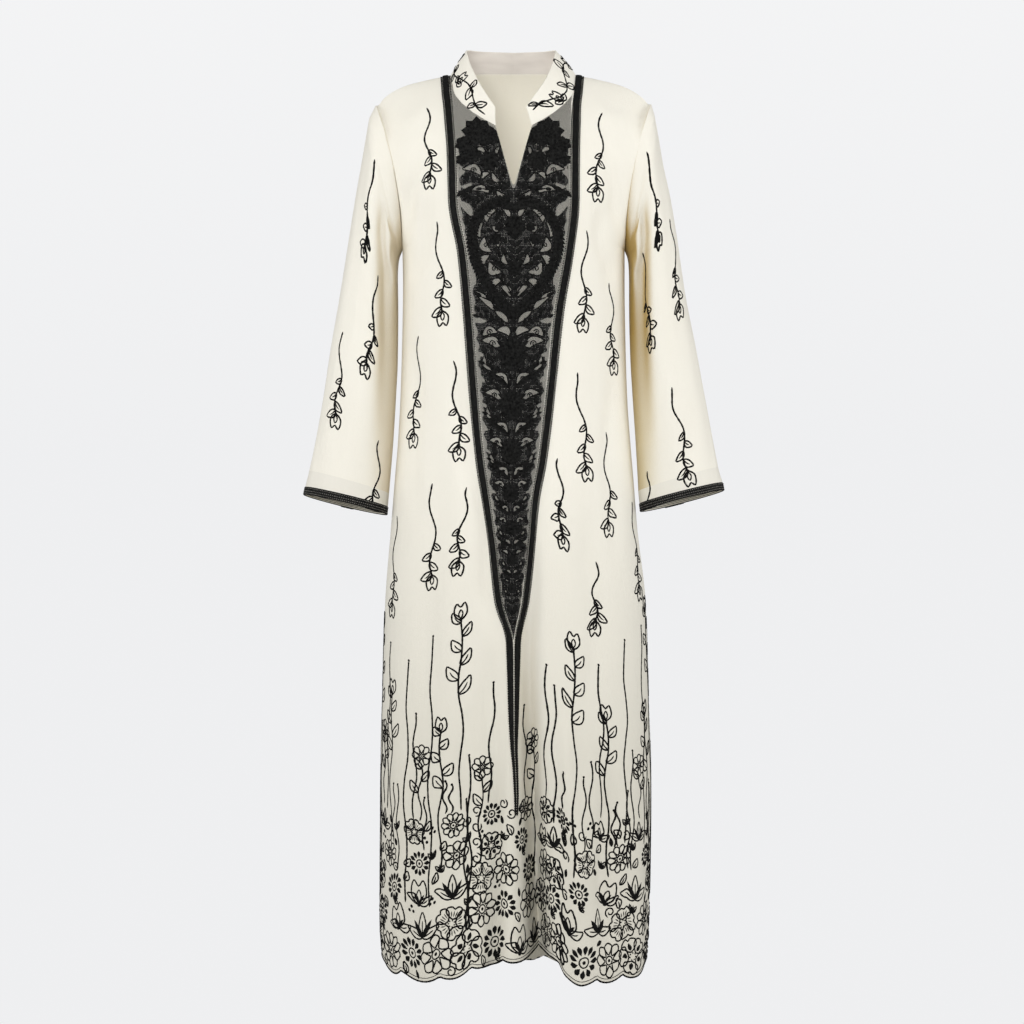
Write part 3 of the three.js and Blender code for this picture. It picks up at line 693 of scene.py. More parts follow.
class Needlework:
    """Raised stitching gathered into one piece: cords, satin leaves and knots on a cloth.

    A lay is a function from flat points, sideways and down, to places and ways out."""

    def __init__(self, sunk=0.15):
        self.sunk = sunk
        self.points, self.faces, self.count = [], [], 0

    def add(self, points, faces):
        self.points.append(points)
        self.faces.extend((np.asarray(face) + self.count).tolist() for face in faces)
        self.count += len(points)

    def band(self, grid):
        """A closed strip: a grid of points over a flat underside, filled at its ends."""
        at = numbered(*grid.shape[:2])
        under = np.stack([at[:-1, 0], at[:-1, -1], at[1:, -1], at[1:, 0]], -1)
        faces = list(quads(at)) + list(under) + [at[0], at[-1][::-1]]
        self.add(grid.reshape(-1, 3), faces)

    def tube(self, spots, outs, width, height, closed=False, thin_ends=True):
        """A three-sided cord with its flat side on the cloth."""
        count = len(spots)
        if closed:
            along = np.roll(spots, -1, 0) - np.roll(spots, 1, 0)
        else:
            along = np.gradient(spots, axis=0)
        beside = unit(np.cross(outs, along))
        swell = 1 + 0.1 * np.sin(np.arange(count) * 2.1 + count)
        if thin_ends and not closed:
            swell[[0, -1]] = 0.45
        half = beside * (width / 2 * swell)[:, None]
        base = spots - outs * self.sunk
        ring = np.stack([base - half, spots + outs * (height * swell)[:, None], base + half], 1)
        at = numbered(count, 3)
        after = np.roll(at, -1, 0) if closed else at[1:]
        before = at if closed else at[:-1]
        faces = []
        for k in range(3):
            n = (k + 1) % 3
            faces.append(np.stack([before[:, k], after[:, k], after[:, n], before[:, n]], -1))
        faces = list(np.concatenate(faces))
        if not closed:
            faces += [at[0], at[-1][::-1]]
        self.add(ring.reshape(-1, 3), faces)

    def cord(self, lay, path, width, height=0.95, closed=False, step=3.6):
        flat = rounded(path, step, closed)
        spots, outs = lay(flat[:, 0], flat[:, 1])
        self.tube(spots, outs, width, height, closed)

    def leaf(self, lay, base, tip, width, height, bend=0.0, widest=0.42, steps=5):
        """A closed satin-stitched leaf or petal with a groove down its middle."""
        base, tip = np.asarray(base, float), np.asarray(tip, float)
        run = tip - base
        beside = np.array([run[1], -run[0]]) / np.hypot(*run)
        t = np.linspace(0, 1, steps + 1)
        power = math.log(0.5) / math.log(widest)
        wide = width / 2 * np.sin(np.pi * t**power) ** 0.8 + 0.12
        line = base + t[:, None] * run + beside * (bend * np.sin(np.pi * t))[:, None]
        share = np.array([-1, -0.55, 0, 0.55, 1])  # across the leaf, from edge to edge
        rise = np.array([0, 1, 0.62, 1, 0])
        flat = line[:, None] + beside * (share * wide[:, None])[..., None]
        spots, outs = lay(flat[..., 0].ravel(), flat[..., 1].ravel())
        full = (wide / (width / 2)) ** 0.7
        lift = (height * rise * full[:, None] - self.sunk * (rise == 0)).ravel()
        self.band((spots + outs * lift[:, None]).reshape(steps + 1, 5, 3))

    def knot(self, lay, centre, radius, height=1.1, sides=8):
        """A small domed knot or filled flower centre."""
        turn = 2 * np.pi * np.arange(sides) / sides
        ring = np.stack([np.cos(turn), -np.sin(turn)], -1)
        flat = np.concatenate([ring * radius, ring * radius * 0.6, [[0, 0]]]) + centre
        spots, outs = lay(flat[:, 0], flat[:, 1])
        lift = np.concatenate([np.full(sides, -self.sunk), np.full(sides, height * 0.8), [height]])
        points = spots + outs * lift[:, None]
        k = np.arange(sides)
        n = (k + 1) % sides
        faces = list(np.stack([k, n, n + sides, k + sides], -1))
        faces += list(np.stack([k + sides, n + sides, np.full(sides, 2 * sides)], -1))
        self.add(points, faces + [k[::-1]])

    def piece(self, name, materials):
        return finished(name, np.concatenate(self.points), self.faces, materials, sharp=0)


# ---------- sleeves, collar ----------
def sleeve_row(ring):
    """The row of a sleeve's cloth at a ring."""
    if ring < CAP_RING:
        return CAP_ROWS * ring / CAP_RING
    return CAP_ROWS + (ring - CAP_RING) / (RINGS - CAP_RING) * TUBE_ROWS


def sleeve_cloth(side):
    """A sleeve as cloth: rings from the armhole to the cuff, turns from its outer edge."""
    rows = dict(SLEEVES[side], ring=np.arange(1, RINGS + 1, dtype=float))
    at = {name: curve(rows, "ring", name) for name in SLEEVES[side]}
    cap = np.linspace(0, CAP_RING, CAP_ROWS + 1)[:-1]
    ring = np.concatenate([cap, np.linspace(CAP_RING, RINGS, TUBE_ROWS + 1)])
    n, degrees = np.meshgrid(ring, np.linspace(0, 360, TURNS + 1), indexing="ij")
    t = np.radians(degrees)
    ahead = np.sin(t)
    number = np.maximum(n, 1)
    out_x, out_z, in_x, in_z, deep, fore = (
        at[name](number) for name in ("outX", "outZ", "inX", "inZ", "depth", "fore")
    )
    # the long fold down the inner front of the sleeve, and its like behind
    turn_at = curve(SLEEVE_FOLD, "ring", "turn")(n)
    fold_in = curve(SLEEVE_FOLD, "ring", "depth")(n)
    sunk = np.zeros_like(n)
    for where in (turn_at, 362 - turn_at):
        sunk += fold_in * np.exp(-(((degrees - where) / 24) ** 2))
    shrink = 1 - sunk / deep
    x = (in_x + out_x) / 2 + (out_x - in_x) / 2 * np.cos(t) * shrink
    y = -fore - deep * ahead * shrink
    z = (in_z + out_z) / 2 + (out_z - in_z) / 2 * np.cos(t) * shrink
    z = z + CUFF_TILT * deep * ahead * number / RINGS
    tube = np.stack([SIGN[side] * x, y, z], -1)
    # the first rings lead over from the seam at the armhole
    down = (1 - np.cos(t)) / 2
    bow = np.where(ahead > 0, ARMHOLE_BOW["front"], ARMHOLE_BOW["back"])
    seam_x = SIGN[side] * (armhole_half(side, down) + 0.15)
    seam = np.stack([seam_x, -bow * ahead, mix(TIP_Z[side], UNDERARM, down)], -1)
    joined = (1 - (1 - np.clip(n / 1.25, 0, 1)) ** 2)[..., None]
    points = mix(seam, tube, joined)
    if side == "right":
        points, degrees = points[:, ::-1], degrees[:, ::-1]
    cloth = Cloth(points, True)
    wave = 0.5 * np.sin(degrees / 11.0 + n * 0.7) + 0.35 * np.sin(degrees / 23.0 - n * 1.3)
    creases = {
        name: values * RING_STEP if "ring" in name else values
        for name, values in SLEEVE_CREASES.items()
    }
    depth = crease_depth(creases, degrees, n * RING_STEP)
    ends = smooth(n) * smooth((RINGS - n) / 0.5)
    cloth.move_out((wave * 0.9 - depth) * ends)
    cloth.points[:, -1] = cloth.points[:, 0]
    return cloth


def collar_cloth(front, back):
    """The stand collar as cloth, its rows from the top edge down to the neck seam."""
    slit, neck = (int(np.argmin(np.abs(COLUMNS["front"] - t))) for t in (SLIT_TURN, NECK_TURN))
    behind = int(np.argmin(np.abs(COLUMNS["back"] - NECK_TURN)))
    mid, back_mid = len(COLUMNS["front"]) - 1, len(COLUMNS["back"]) - 1
    seam = np.concatenate(
        [
            front.points[0, mid + slit : mid + neck + 1],
            back.points[0, back_mid - behind + 1 : back_mid + behind],
            front.points[0, mid - neck : mid - slit + 1],
        ]
    )
    seam = rounded(seam, 4.0)
    reach = reaches(seam)
    whole = 2 * reach / reach[-1]
    along = np.where(whole <= 1, whole, 2 - whole)
    at = {name: curve(COLLAR_TOP, "along", name) for name in ("left", "right", "y", "z")}
    x = np.where(whole <= 1, at["right"](along), -at["left"](along))
    top = np.stack([x, at["y"](along), at["z"](along)], -1)
    foot = seam + unit(top - seam) * 0.3
    rows = []
    for share in np.linspace(0, 1, 12):
        line = mix(top, foot, share)
        away = unit(np.stack([line[:, 0], line[:, 1] + 10, 0 * line[:, 0]], -1))
        soft = 0.5 * np.sin(reach / 17.0) + 0.4 * np.sin(reach / 8.3 + 1)
        bulge = 6.0 * share * (1 - share) + soft * share * (1 - share) * 1.6
        rows.append(line + away * bulge[:, None])
    return Cloth(np.array(rows))


# ---------- the lace panel ----------
def lace_edge(side, z):
    """How far out the lace goes on one side at a height."""
    half = braid_line["half"](z) + 0.6
    if side == "left":
        return np.minimum(-0.6, braid_line["left"](z) + half)
    return np.maximum(0.6, braid_line["right"](z) - half)


def laid_on(front, x, z, lift):
    """A second cloth that lies on the front, under points seen from straight ahead."""
    rows, columns = place_on("front", x, z)
    spots, outs = front.spots(rows.ravel(), columns.ravel())
    upper = Cloth((spots + outs * lift).reshape(z.shape + (3,)))
    upper.outs = outs.reshape(z.shape + (3,))
    return upper


def net_cloth(front, lift):
    """The lace's net as cloth, between the braids from the neck edge down to its point."""
    shares = np.concatenate([-np.linspace(1, 0, 46), np.linspace(0, 1, 46)[1:]])

    def out_to_braid(z):
        return np.where(shares < 0, -lace_edge("left", z), lace_edge("right", z))

    top = np.full(shares.shape, -120.0)
    for _ in range(30):
        top = mix(top, neckline("front", np.abs(shares) * out_to_braid(top)), 0.6)
    z = mix(top[None], LACE_TIP, np.linspace(0, 1, 361)[:, None])
    return laid_on(front, shares[None] * out_to_braid(z), z, lift)


# The field on which the lace is drawn: the millimetres out from its middle and down from the
# shoulders that it covers, and how far apart its rows and columns are.
LACE_WIDE, LACE_TALL = 108, 884
FIELD_TOP, FIELD_HALF, FIELD_STEP = 50.0, 110.0, 2.0


def lace_middle(z):
    """The line half way between the braids."""
    return (braid_line["left"](z) + braid_line["right"](z)) / 2


def lace_field(front):
    """The ground of the lace's flowers as cloth, with even rows and columns."""
    down, x = np.meshgrid(
        np.arange(FIELD_TOP, 890, FIELD_STEP),
        np.arange(-FIELD_HALF, FIELD_HALF + FIELD_STEP, FIELD_STEP),
        indexing="ij",
    )
    return laid_on(front, lace_middle(-down) + x, -down, 0.95)


def lace_half(down):
    """Half the width of the lace at a distance below the shoulders."""
    down = np.asarray(down, float)
    return (lace_edge("right", -down) - lace_edge("left", -down)) / 2


class Room:
    """Keeps count of what the lace's stitching covers and must leave open, in its right half."""

    def __init__(self):
        self.x, self.down = np.meshgrid(
            np.arange(LACE_WIDE) + 0.5, np.arange(LACE_TALL) + 0.5, indexing="ij"
        )
        self.taken = np.zeros(self.x.shape, bool)
        self.open = np.zeros(self.x.shape, bool)

    def turned(self, part, centre, length, width, degrees):
        """How far along and aside of an oval's middle the cells of a part are, in half sizes."""
        a = math.radians(degrees)
        dx, dz = self.x[part] - centre[0], self.down[part] - centre[1]
        along = (dx * math.sin(a) - dz * math.cos(a)) / (length / 2)
        return along, (dx * math.cos(a) + dz * math.sin(a)) / (width / 2)

    def oval(self, centre, length, width, degrees, bent=0.0):
        """The cells of a pointed oval or, where it is bent, of a crescent."""
        along, aside = self.turned(..., centre, length, width, degrees)
        aside = aside - 1.5 * bent * (along**2 - 0.5) if bent else aside
        return (np.abs(aside) < 1 - along**2) & (np.abs(along) < 1)

    def leaf_cells(self, centre, length, width, degrees):
        """The part of the field round a leaf, as slices, and the cells in it that it covers."""
        reach = int(length / 2 + 2)
        part = tuple(
            slice(max(0, int(v) - reach), max(1, int(v) + reach + 1)) for v in centre
        )
        along, aside = self.turned(part, centre, length, width, degrees)
        return part, along**2 + aside**2 < 1

    def worked(self, inside, x, down):
        """How far places lie inside the flowers, from 0 to 1 with the edge at a half."""
        cover = (inside & ~self.open).astype(float)
        cover = np.concatenate([cover[1::-1], cover, cover[-2:]])
        cover = np.pad(cover, ((0, 0), (2, 2)), mode="edge")
        for _ in range(2):
            cover[1:-1] = (cover[:-2] + 2 * cover[1:-1] + cover[2:]) / 4
            cover[:, 1:-1] = (cover[:, :-2] + 2 * cover[:, 1:-1] + cover[:, 2:]) / 4
        return between(cover, np.abs(x) + 1.5, down + 1.5)


# Openings left in the lace's flowers: place, length, width and lean, how much each is bent into
# a crescent, and whether it has room for a small scroll.
LACE_OPENINGS = table(
    "x down length width lean bent scroll",
    (50, 128, 16, 6, 70, 0.8, 0),
    (24, 128, 14, 5, -22, -0.7, 0),
    (80, 160, 18, 7, 8, 0.9, 0),
    (62, 160, 30, 12, 70, 0.9, 1),
    (44, 168, 16, 7, 130, 0.8, 0),
    (27, 172, 20, 7, 44, -0.9, 0),
    (72, 183, 22, 8, 108, -0.8, 0),
    (50, 191, 30, 9, 80, 0.9, 0),
    (20, 197, 18, 7, 64, -0.7, 0),
    (73, 219, 34, 12, 40, 0.3, 0),
    (12, 226, 20, 7, 34, 0.8, 0),
    (38, 229, 26, 13, 142, 0.9, 1),
    (54, 252, 24, 11, 168, 0.9, 0),
    (28, 250, 16, 7, 70, -0.8, 0),
    (45, 276, 26, 12, 24, -0.9, 1),
    (24, 272, 16, 6, 150, 0.9, 0),
    (46, 298, 20, 9, 150, 0.9, 0),
    (16, 298, 18, 7, 24, -0.9, 0),
    (32, 312, 26, 13, 52, -0.8, 1),
    (28, 334, 20, 9, 132, 0.8, 0),
    (12, 345, 24, 10, 44, 0.7, 0),
    (68, 320, 40, 11, 28, 0.3, 0),
    (44, 360, 44, 9, 46, 0.3, 0),
    (17, 385, 28, 8, 48, 0.3, 0),
    (13, 408, 24, 11, 66, 0.8, 0),
    (52, 388, 26, 9, 64, -0.8, 0),
    (36, 409, 24, 12, 104, 0.8, 1),
)
# The roses at the top, on each side of the slit: place and radius, petals, lean, rings.
LACE_ROSES = table(
    "x down radius petals lean rings",
    (54, 99, 26, 9, 4, 3),
    (76, 119, 14, 7, 0, 2),
    (33, 106, 16, 8, 12, 3),
    (66, 135, 17, 8, 5, 2),
    (37, 145, 18, 8, 20, 3),
    (79, 143, 10, 6, 0, 2),
)
LACE_TOP = table(
    "x down",
    (0, 190), (3, 186), (20, 116), (30, 104), (40, 92), (54, 86), (70, 100), (84, 122),
    (92, 150), (108, 160),
)
LACE_OUTLINE = table(
    "down x",
    (80, 80), (118, 84), (150, 87), (180, 86), (205, 86), (228, 86), (234, 79), (262, 78),
    (290, 74), (308, 66), (318, 62), (328, 66), (352, 66), (374, 62), (400, 60), (884, 60),
)
LACE_WREATH = table(
    "x down",
    (0, 207), (24, 209), (46, 220), (60, 240), (66, 264), (63, 290), (53, 316), (37, 342),
    (18, 364), (1, 381),
)


class Lace:
    """The lace's stitching, drawn on its right half and mirrored about its middle."""

    def __init__(self, front):
        self.work = Needlework(sunk=0.05)
        self.room = Room()
        self.field = lace_field(front)
        self.lays = [self.ground(1.0), self.ground(-1.0)]

    def ground(self, mirror):
        """Lays flat points on the field, as they are drawn or mirrored."""

        def lay(x, down):
            row, column = down - FIELD_TOP, mirror * x + FIELD_HALF
            return self.field.spots(row / FIELD_STEP, column / FIELD_STEP)

        return lay

    def leaf(
        self, x, down, degrees, length, width, height=0.8, bend=0.0, widest=0.42, steps=4, clear=1.0
    ):
        """A leaf from its base, pointing at an angle: 0 is up and 90 is out to the side.

        It is left out where more of it than the clear share would lie over an opening."""
        a = math.radians(degrees)
        tip = (x + length * math.sin(a), down - length * math.cos(a))
        centre = ((x + tip[0]) / 2, (down + tip[1]) / 2)
        part, cells = self.room.leaf_cells(centre, length, width, degrees)
        if self.room.open[part][cells].mean() > clear:
            return
        self.room.taken[part] |= cells
        for lay in self.lays:
            self.work.leaf(lay, (x, down), tip, width, height, bend, widest, steps)

    def cord(self, path, width, height, closed=False):
        for lay in self.lays:
            self.work.cord(lay, path, width, height, closed, step=2.6)
        x, down = rounded(path, 0.8, closed).T.astype(int)
        self.room.taken[np.clip(x, 0, LACE_WIDE - 1), np.clip(down, 0, LACE_TALL - 1)] = True

    def knot(self, spot, radius, height, sides=8):
        for lay in self.lays:
            self.work.knot(lay, spot, radius, height, sides)

    def blossom(self, x, down, radius, petals, lean=0.0, rings=2):
        """A filled flower: rings of petals, each higher than the last, round a knot."""
        for ring in range(rings):
            size = radius * (1 - 0.34 * ring)
            for k in range(petals):
                turn = 360 * (k + 0.5 * ring) / petals + lean
                width = 2.0 * size * math.sin(math.pi / petals) * (0.86 if ring else 0.74)
                self.leaf(x, down, turn, size, width, 0.8 + 0.5 * ring, widest=0.66)
                if radius > 12 and ring < 2:
                    self.slit_between_petals(x, down, size, turn + 180 / petals, ring)
        self.knot((x, down), radius * 0.17, 2.1)

    def slit_between_petals(self, x, down, size, degrees, ring):
        """Keeps a thin gap open between the tips of two petals."""
        far, a = size * (0.86 if ring else 0.88), math.radians(degrees)
        spot = (x + far * math.sin(a), down - far * math.cos(a))
        self.room.open |= self.room.oval(spot, size * 0.3, 2.7 - 0.4 * ring, degrees)

    def frond(self, x, down, degrees, length, leaves, size, bend):
        """A curved stem with leaflets on both sides and one at its end."""
        a = math.radians(degrees)
        way = np.array([math.sin(a), -math.cos(a)])
        aside = np.array([way[1], -way[0]])
        t = np.linspace(0, 1, 7)[:, None]
        line = np.array([x, down]) + t * way * length + aside * bend * np.sin(np.pi * t)
        self.cord(line, 2.1, 1.2)
        for k in range(leaves):
            share = (k + 0.6) / (leaves + 0.3)
            spot = line[0] + share * way * length + aside * bend * math.sin(math.pi * share)
            lean = math.degrees(math.atan(math.pi * bend / length * math.cos(math.pi * share)))
            grown = size * (1 - 0.35 * abs(share - 0.4))
            for side in (-1, 1):
                turn = degrees - lean + side * 46
                bow = side * grown * 0.08
                self.leaf(*spot, turn, grown, grown * 0.44, 1.0, bend=bow, clear=0.3)
        self.leaf(*line[-1], degrees, size, size * 0.44, 1.0)

    def scroll(self, x, down, radius, start):
        """A spiral tendril ending in a knot."""
        t = np.linspace(0, 1, 12)
        angle = np.radians(start) + 1.2 * 2 * np.pi * t
        size = radius * (1 - 0.74 * t)
        path = np.stack([x + size * np.sin(angle), down - size * np.cos(angle)], -1)
        self.cord(path, 1.7, 0.9)
        self.knot(tuple(path[-1]), 1.5, 1.1, 6)

    def opening(self, inside, x, down, length, width, lean, bent, has_scroll):
        """An open place, corded round where it lies well inside the flowers."""
        width = max(width, 3.2)
        along = np.array([-1, -0.6, -0.2, 0.2, 0.6, 1, 0.6, 0.2, -0.2, -0.6])
        out = np.where(np.arange(10) < 5, 1, -1) * (1 - along**2)
        aside = (out + 1.5 * bent * (along**2 - 0.5)) * (width / 2) + 0.8 * np.sign(out)
        edge = spin(np.stack([aside, -along * (length / 2 + 1)], -1), lean, (x, down))
        self.room.open |= self.room.oval((x, down), length, width, lean, bent)
        cells = inside[np.clip(edge[:, 0], 0, LACE_WIDE - 1).astype(int), edge[:, 1].astype(int)]
        if edge[:, 0].min() > 0.8 and cells.all():
            self.cord(edge, 1.9, 1.2, closed=True)
        if has_scroll:
            self.scroll(x, down, max(width, 4) * 0.42, lean + 180)


def lace_repeats():
    """Top, height and half width of the repeats that narrow with the panel."""
    repeats, down = [], 414.0
    for _ in range(8):
        half = float(lace_half(down + 26)) - 3
        tall = 28 + 0.98 * half
        repeats.append((down, tall, half))
        down += tall
    return repeats


def lace_inside(room):
    """The cells inside the flowers' scalloped outline. Plain net is left beside the braids."""
    tapered = smooth((room.down - 560) / 200)
    deep = 3.4 + 1.2 * smooth((room.down - 385) / 40) - 1.6 * tapered
    wave = deep * np.abs(np.sin(np.pi * (room.down + 4) / 22 + 0.7 * np.sin(room.down / 37)))
    outline = np.interp(room.down, LACE_OUTLINE["down"], LACE_OUTLINE["x"])
    limit = np.minimum(lace_half(room.down) - (3.6 - 2.4 * tapered), outline)
    slit = np.interp(room.down, [88, -SLIT_FOOT], [27.5, 1.0])
    inside = room.down > np.interp(room.x, LACE_TOP["x"], LACE_TOP["down"])
    for x, down, radius, *_ in rows_of(LACE_ROSES):
        inside |= (room.x - x) ** 2 + (room.down - down) ** 2 < (0.8 * radius) ** 2
    inside &= (room.x < limit + 2 - wave * (limit > 12)) & (room.down < 878)
    return inside & ((room.x > slit + 0.6) | (room.down > -SLIT_FOOT + 2))


def repeat_openings(down, tall, half):
    """The openings of one repeat, sized by it."""
    return [
        (0.6 * half, down + 0.15 * tall, 0.62 * half, 0.24 * half, 62, 0.9, half > 18),
        (0.74 * half, down + 0.54 * tall, 0.46 * half, 0.13 * half, 28, -0.8, 0),
        (0.32 * half, down + 0.82 * tall, 0.54 * half, 0.2 * half, 56, 0.9, half > 22),
        (0.2 * half, down + 0.4 * tall, 0.36 * half, 0.1 * half, 20, 0.8, 0),
        (0.93 * half, down + 0.36 * tall, 0.34 * half, 0.1 * half, 58, 0.4, 0),
        (0.9 * half, down + 0.82 * tall, 0.36 * half, 0.11 * half, 46, 0.5, 0),
    ]


def lace_medallion(lace):
    """A pointed oval wreath of leaves, and inside it a tree of leaves and blossoms."""
    oval = rounded(np.stack([LACE_WREATH["x"], LACE_WREATH["down"]], -1), 5.4)
    for before, here, after in zip(oval, oval[1:], oval[2:]):
        way = after - before
        turn = math.degrees(math.atan2(way[0], -way[1]))
        lace.leaf(*here, turn + 58, 11.5, 5.8, 0.9)
        lace.leaf(*here, turn - 58, 11.5, 5.8, 0.9)
        lace.leaf(*here, turn, 8, 4.4, 1.5, steps=3)
    lace.blossom(0, 246, 19, 10, rings=3)
    lace.blossom(0, 312, 13, 8)
    lace.blossom(30, 266, 10, 7)
    lace.blossom(24, 248, 8, 6)
    for k in range(9):
        size = 10 + 11 * math.sin(math.pi * (k + 1) / 10)
        lace.leaf(0, 356 - 11 * k, 46, size, size * 0.38, 1.2, bend=1.5)
    for k in range(6):
        lace.leaf(0, 228 - 2 * k, 8 + 17 * k, 20, 6.8, 1.1)
    lace.frond(4, 350, 40, 30, 4, 10, 2)


def lace_palmette(lace, down, tall, half):
    """One repeat: a flower with a palmette of leaves over a pair of drooping fronds."""
    size = half * 0.36
    middle = down + tall * 0.44
    lace.blossom(0, middle, size + 3, 9, 6.0, rings=2 if half < 22 else 3)
    for k in range(5):
        start = (0.05 * half, middle - size * 0.7)
        lace.leaf(*start, 4 + 27 * k, half * 0.5, half * 0.17, 1.1, clear=0.4)
    lace.frond(0.04 * half, down + tall * 1.04, 52, half * 0.84, 6, half * 0.27, half * 0.1)
    lace.frond(0.1 * half, down + tall * 0.7, 70, half * 0.72, 5, half * 0.24, -half * 0.08)


def lace_fillers(lace, inside):
    """Leaves of falling size wherever there is still room."""
    rng = np.random.default_rng(11)
    room = lace.room
    sizes = ((16, 7.6, 0.2, 1200), (11, 6, 0.3, 1600), (7.5, 4.6, 0.3, 1600))
    for length, width, most, tries in sizes:
        for _ in range(tries):
            x, down = rng.uniform(0, 90), rng.uniform(80, 874)
            turn = 38 + 34 * math.sin(down / 17 + x / 9) + rng.uniform(-22, 22)
            part, cells = room.leaf_cells((x, down), length, width, turn)
            if not cells.any() or not inside[part][cells].all():
                continue
            if room.open[part][cells].mean() > 0.04 or room.taken[part][cells].mean() > most:
                continue
            a = math.radians(turn)
            base = (x - length / 2 * math.sin(a), down + length / 2 * math.cos(a))
            if base[0] > 0:
                rise = rng.uniform(0.6, 1.1)
                lace.leaf(*base, turn, length, width, rise, steps=4 if length > 9 else 3)


def lace_pattern(front):
    """The lace's flowers, leaves and scrolls, and a measure of how far places lie in them."""
    lace = Lace(front)
    inside = lace_inside(lace.room)
    repeats = lace_repeats()
    # the openings first, so that all that follows keeps clear of them
    openings = rows_of(LACE_OPENINGS)
    for repeat in repeats:
        if repeat[2] > 12:
            openings += repeat_openings(*repeat)
    for opening in openings:
        lace.opening(inside, *opening)
    # bunches of roses on both sides of the slit
    for x, down, radius, petals, lean, rings in rows_of(LACE_ROSES):
        lace.blossom(x, down, radius, int(petals), lean, int(rings))
    lace.frond(58, 184, 118, 24, 4, 11, 3)
    lace.frond(48, 206, 74, 30, 5, 11, -4)
    lace.frond(18, 186, 95, 30, 5, 11, -3)
    lace_medallion(lace)
    # sprays that rise on both sides of its point
    lace.frond(3, 390, 53, 58, 8, 13, 5)
    lace.frond(12, 400, 70, 42, 5, 12, 4)
    lace.leaf(0, 392, 0, 18, 9)
    for repeat in repeats:
        lace_palmette(lace, *repeat)
    lace_fillers(lace, inside)
    return lace.work, lambda x, down: lace.room.worked(inside, x, down)


# ---------- braids ----------
def braid_path(front, side):
    """Rows, columns and heights of a braid's middle line, from the shoulder to its lower end."""
    rows = np.arange(0, front.points.shape[0] - 1, 0.35)
    last = front.points.shape[1] - 1.0
    columns = np.full(rows.shape, front.points.shape[1] / 2.0 + 40 * SIGN[side])
    for _ in range(12):
        goal = braid_line[side](between(front.points, rows, columns)[:, 2])
        columns = halved(lambda c: between(front.points[..., 0], rows, c) < goal, last, rows, 16)
    z = between(front.points, rows, columns)[:, 2]
    keep = z > BRAID["z"].min()
    return rows[keep], columns[keep], z[keep]


def braid_band(front, side):
    """A braid: a net edging with stitched rims, and a plaited core raised on it."""
    rows, columns, z = braid_path(front, side)
    reach = reaches(front.spots(rows, columns)[0])
    even = np.arange(1.0, reach[-1], 1.9)
    rows, columns, z = (np.interp(even, reach, values) for values in (rows, columns, z))
    half = braid_line["half"](z)

    def line(share, lift):
        """A line along the braid, at a share of its half width, and its ways out."""
        over = front.sideways(rows, columns, share * half)
        spots, outs = front.spots(rows, over)
        return spots + outs * np.reshape(lift, (-1, 1)), outs

    work = Needlework(sunk=0.1)
    fuller = 1 + 0.5 * smooth((-z - 850) / 60)
    core = [line(-0.62 * fuller, 0.55)[0]]
    for share in np.linspace(-0.62, 0.62, 9):
        plait = 0.34 * np.abs(np.sin(np.pi * (even / 7.2 + abs(share) * 1.1)))
        crown = 1.5 * (1 - (share / 0.66) ** 2) ** 0.4
        core.append(line(share * fuller, 0.75 + (crown + plait) * np.clip(half / 6, 0.35, 1))[0])
    core.append(line(0.62 * fuller, 0.55)[0])
    work.band(np.array(core).transpose(1, 0, 2))
    for edge in (-1, 1):
        rim, outs = line(edge * 0.95, 0.6)
        for k in range(0, len(even) - 2, 2):
            work.tube(rim[k : k + 2], outs[k : k + 2], 1.5, 0.9, False, False)
        near, outs = line(edge * 0.66, 0.6)
        zigzag = np.where((np.arange(len(even)) % 2 == 0)[:, None], near, rim)
        work.tube(zigzag, outs, 0.55, 0.45)
    edging = [line(share, 0.5)[0] for share in np.linspace(-1, 1, 9)]
    return work, Cloth(np.array(edging).transpose(1, 0, 2))


# ---------- cuff bands and hem cords ----------
def cuff_drop(sleeve):
    """How far apart the last rows of a sleeve are."""
    return sleeve.drop[-1].mean() - sleeve.drop[-2].mean()


def ways_down(below, columns):
    """The ways down from an edge at columns between its points."""
    at = np.arange(len(below))
    return np.stack([np.interp(columns, at, below[:, k]) for k in range(3)], -1)


def cuff_band(sleeve):
    """The dark band round the cuff, with ridged stitch rows, and thin lines inside the edge."""
    columns = np.linspace(0, TURNS, 4 * TURNS + 1)[:-1]
    down = ways_down(unit(sleeve.points[-1] - sleeve.points[-3]), columns)
    work = Needlework(sunk=0.0)

    def round_cuff(above, step=1):
        """A line on the cloth round the cuff, at a height above its edge."""
        over = columns[::step]
        row = sleeve.points.shape[0] - 1 - max(above, 0) / cuff_drop(sleeve)
        return sleeve.spots(np.full(over.shape, row), over)

    # down the outside in ridges, round the edge, and back up in the thickness of the crepe
    path = []
    for k, above in enumerate(np.linspace(12.2, -0.6, 15)):
        stitch = 0.16 * np.abs(np.sin(columns * np.pi * 1.35 + k * 0.9))
        path.append((above, 0.75 + 0.28 * abs(math.sin(k * math.pi / 3.5)) + stitch))
    path[0], path[-1] = (path[0][0], 0.2), (path[-1][0], 0.2)
    path += [(-0.3, -CREPE_THICK - 0.25), (0.5, -CREPE_THICK - 0.3)]
    path += [(1.0, -CREPE_THICK / 2), (6.0, -CREPE_THICK / 2)]
    lines = []
    for above, lift in path:
        spots, outs = round_cuff(above)
        lines.append(spots + outs * np.reshape(lift, (-1, 1)) - down * min(above, 0))
    index = closed_round(numbered(len(lines), len(columns)))
    work.add(np.concatenate(lines), list(quads(np.concatenate([index, index[:1]]))))
    for above in (2.6, 4.9):
        spots, outs = round_cuff(above, 2)
        work.tube(spots - outs * (CREPE_THICK + 0.05), -outs, 0.8, 0.45, closed=True)
    return work


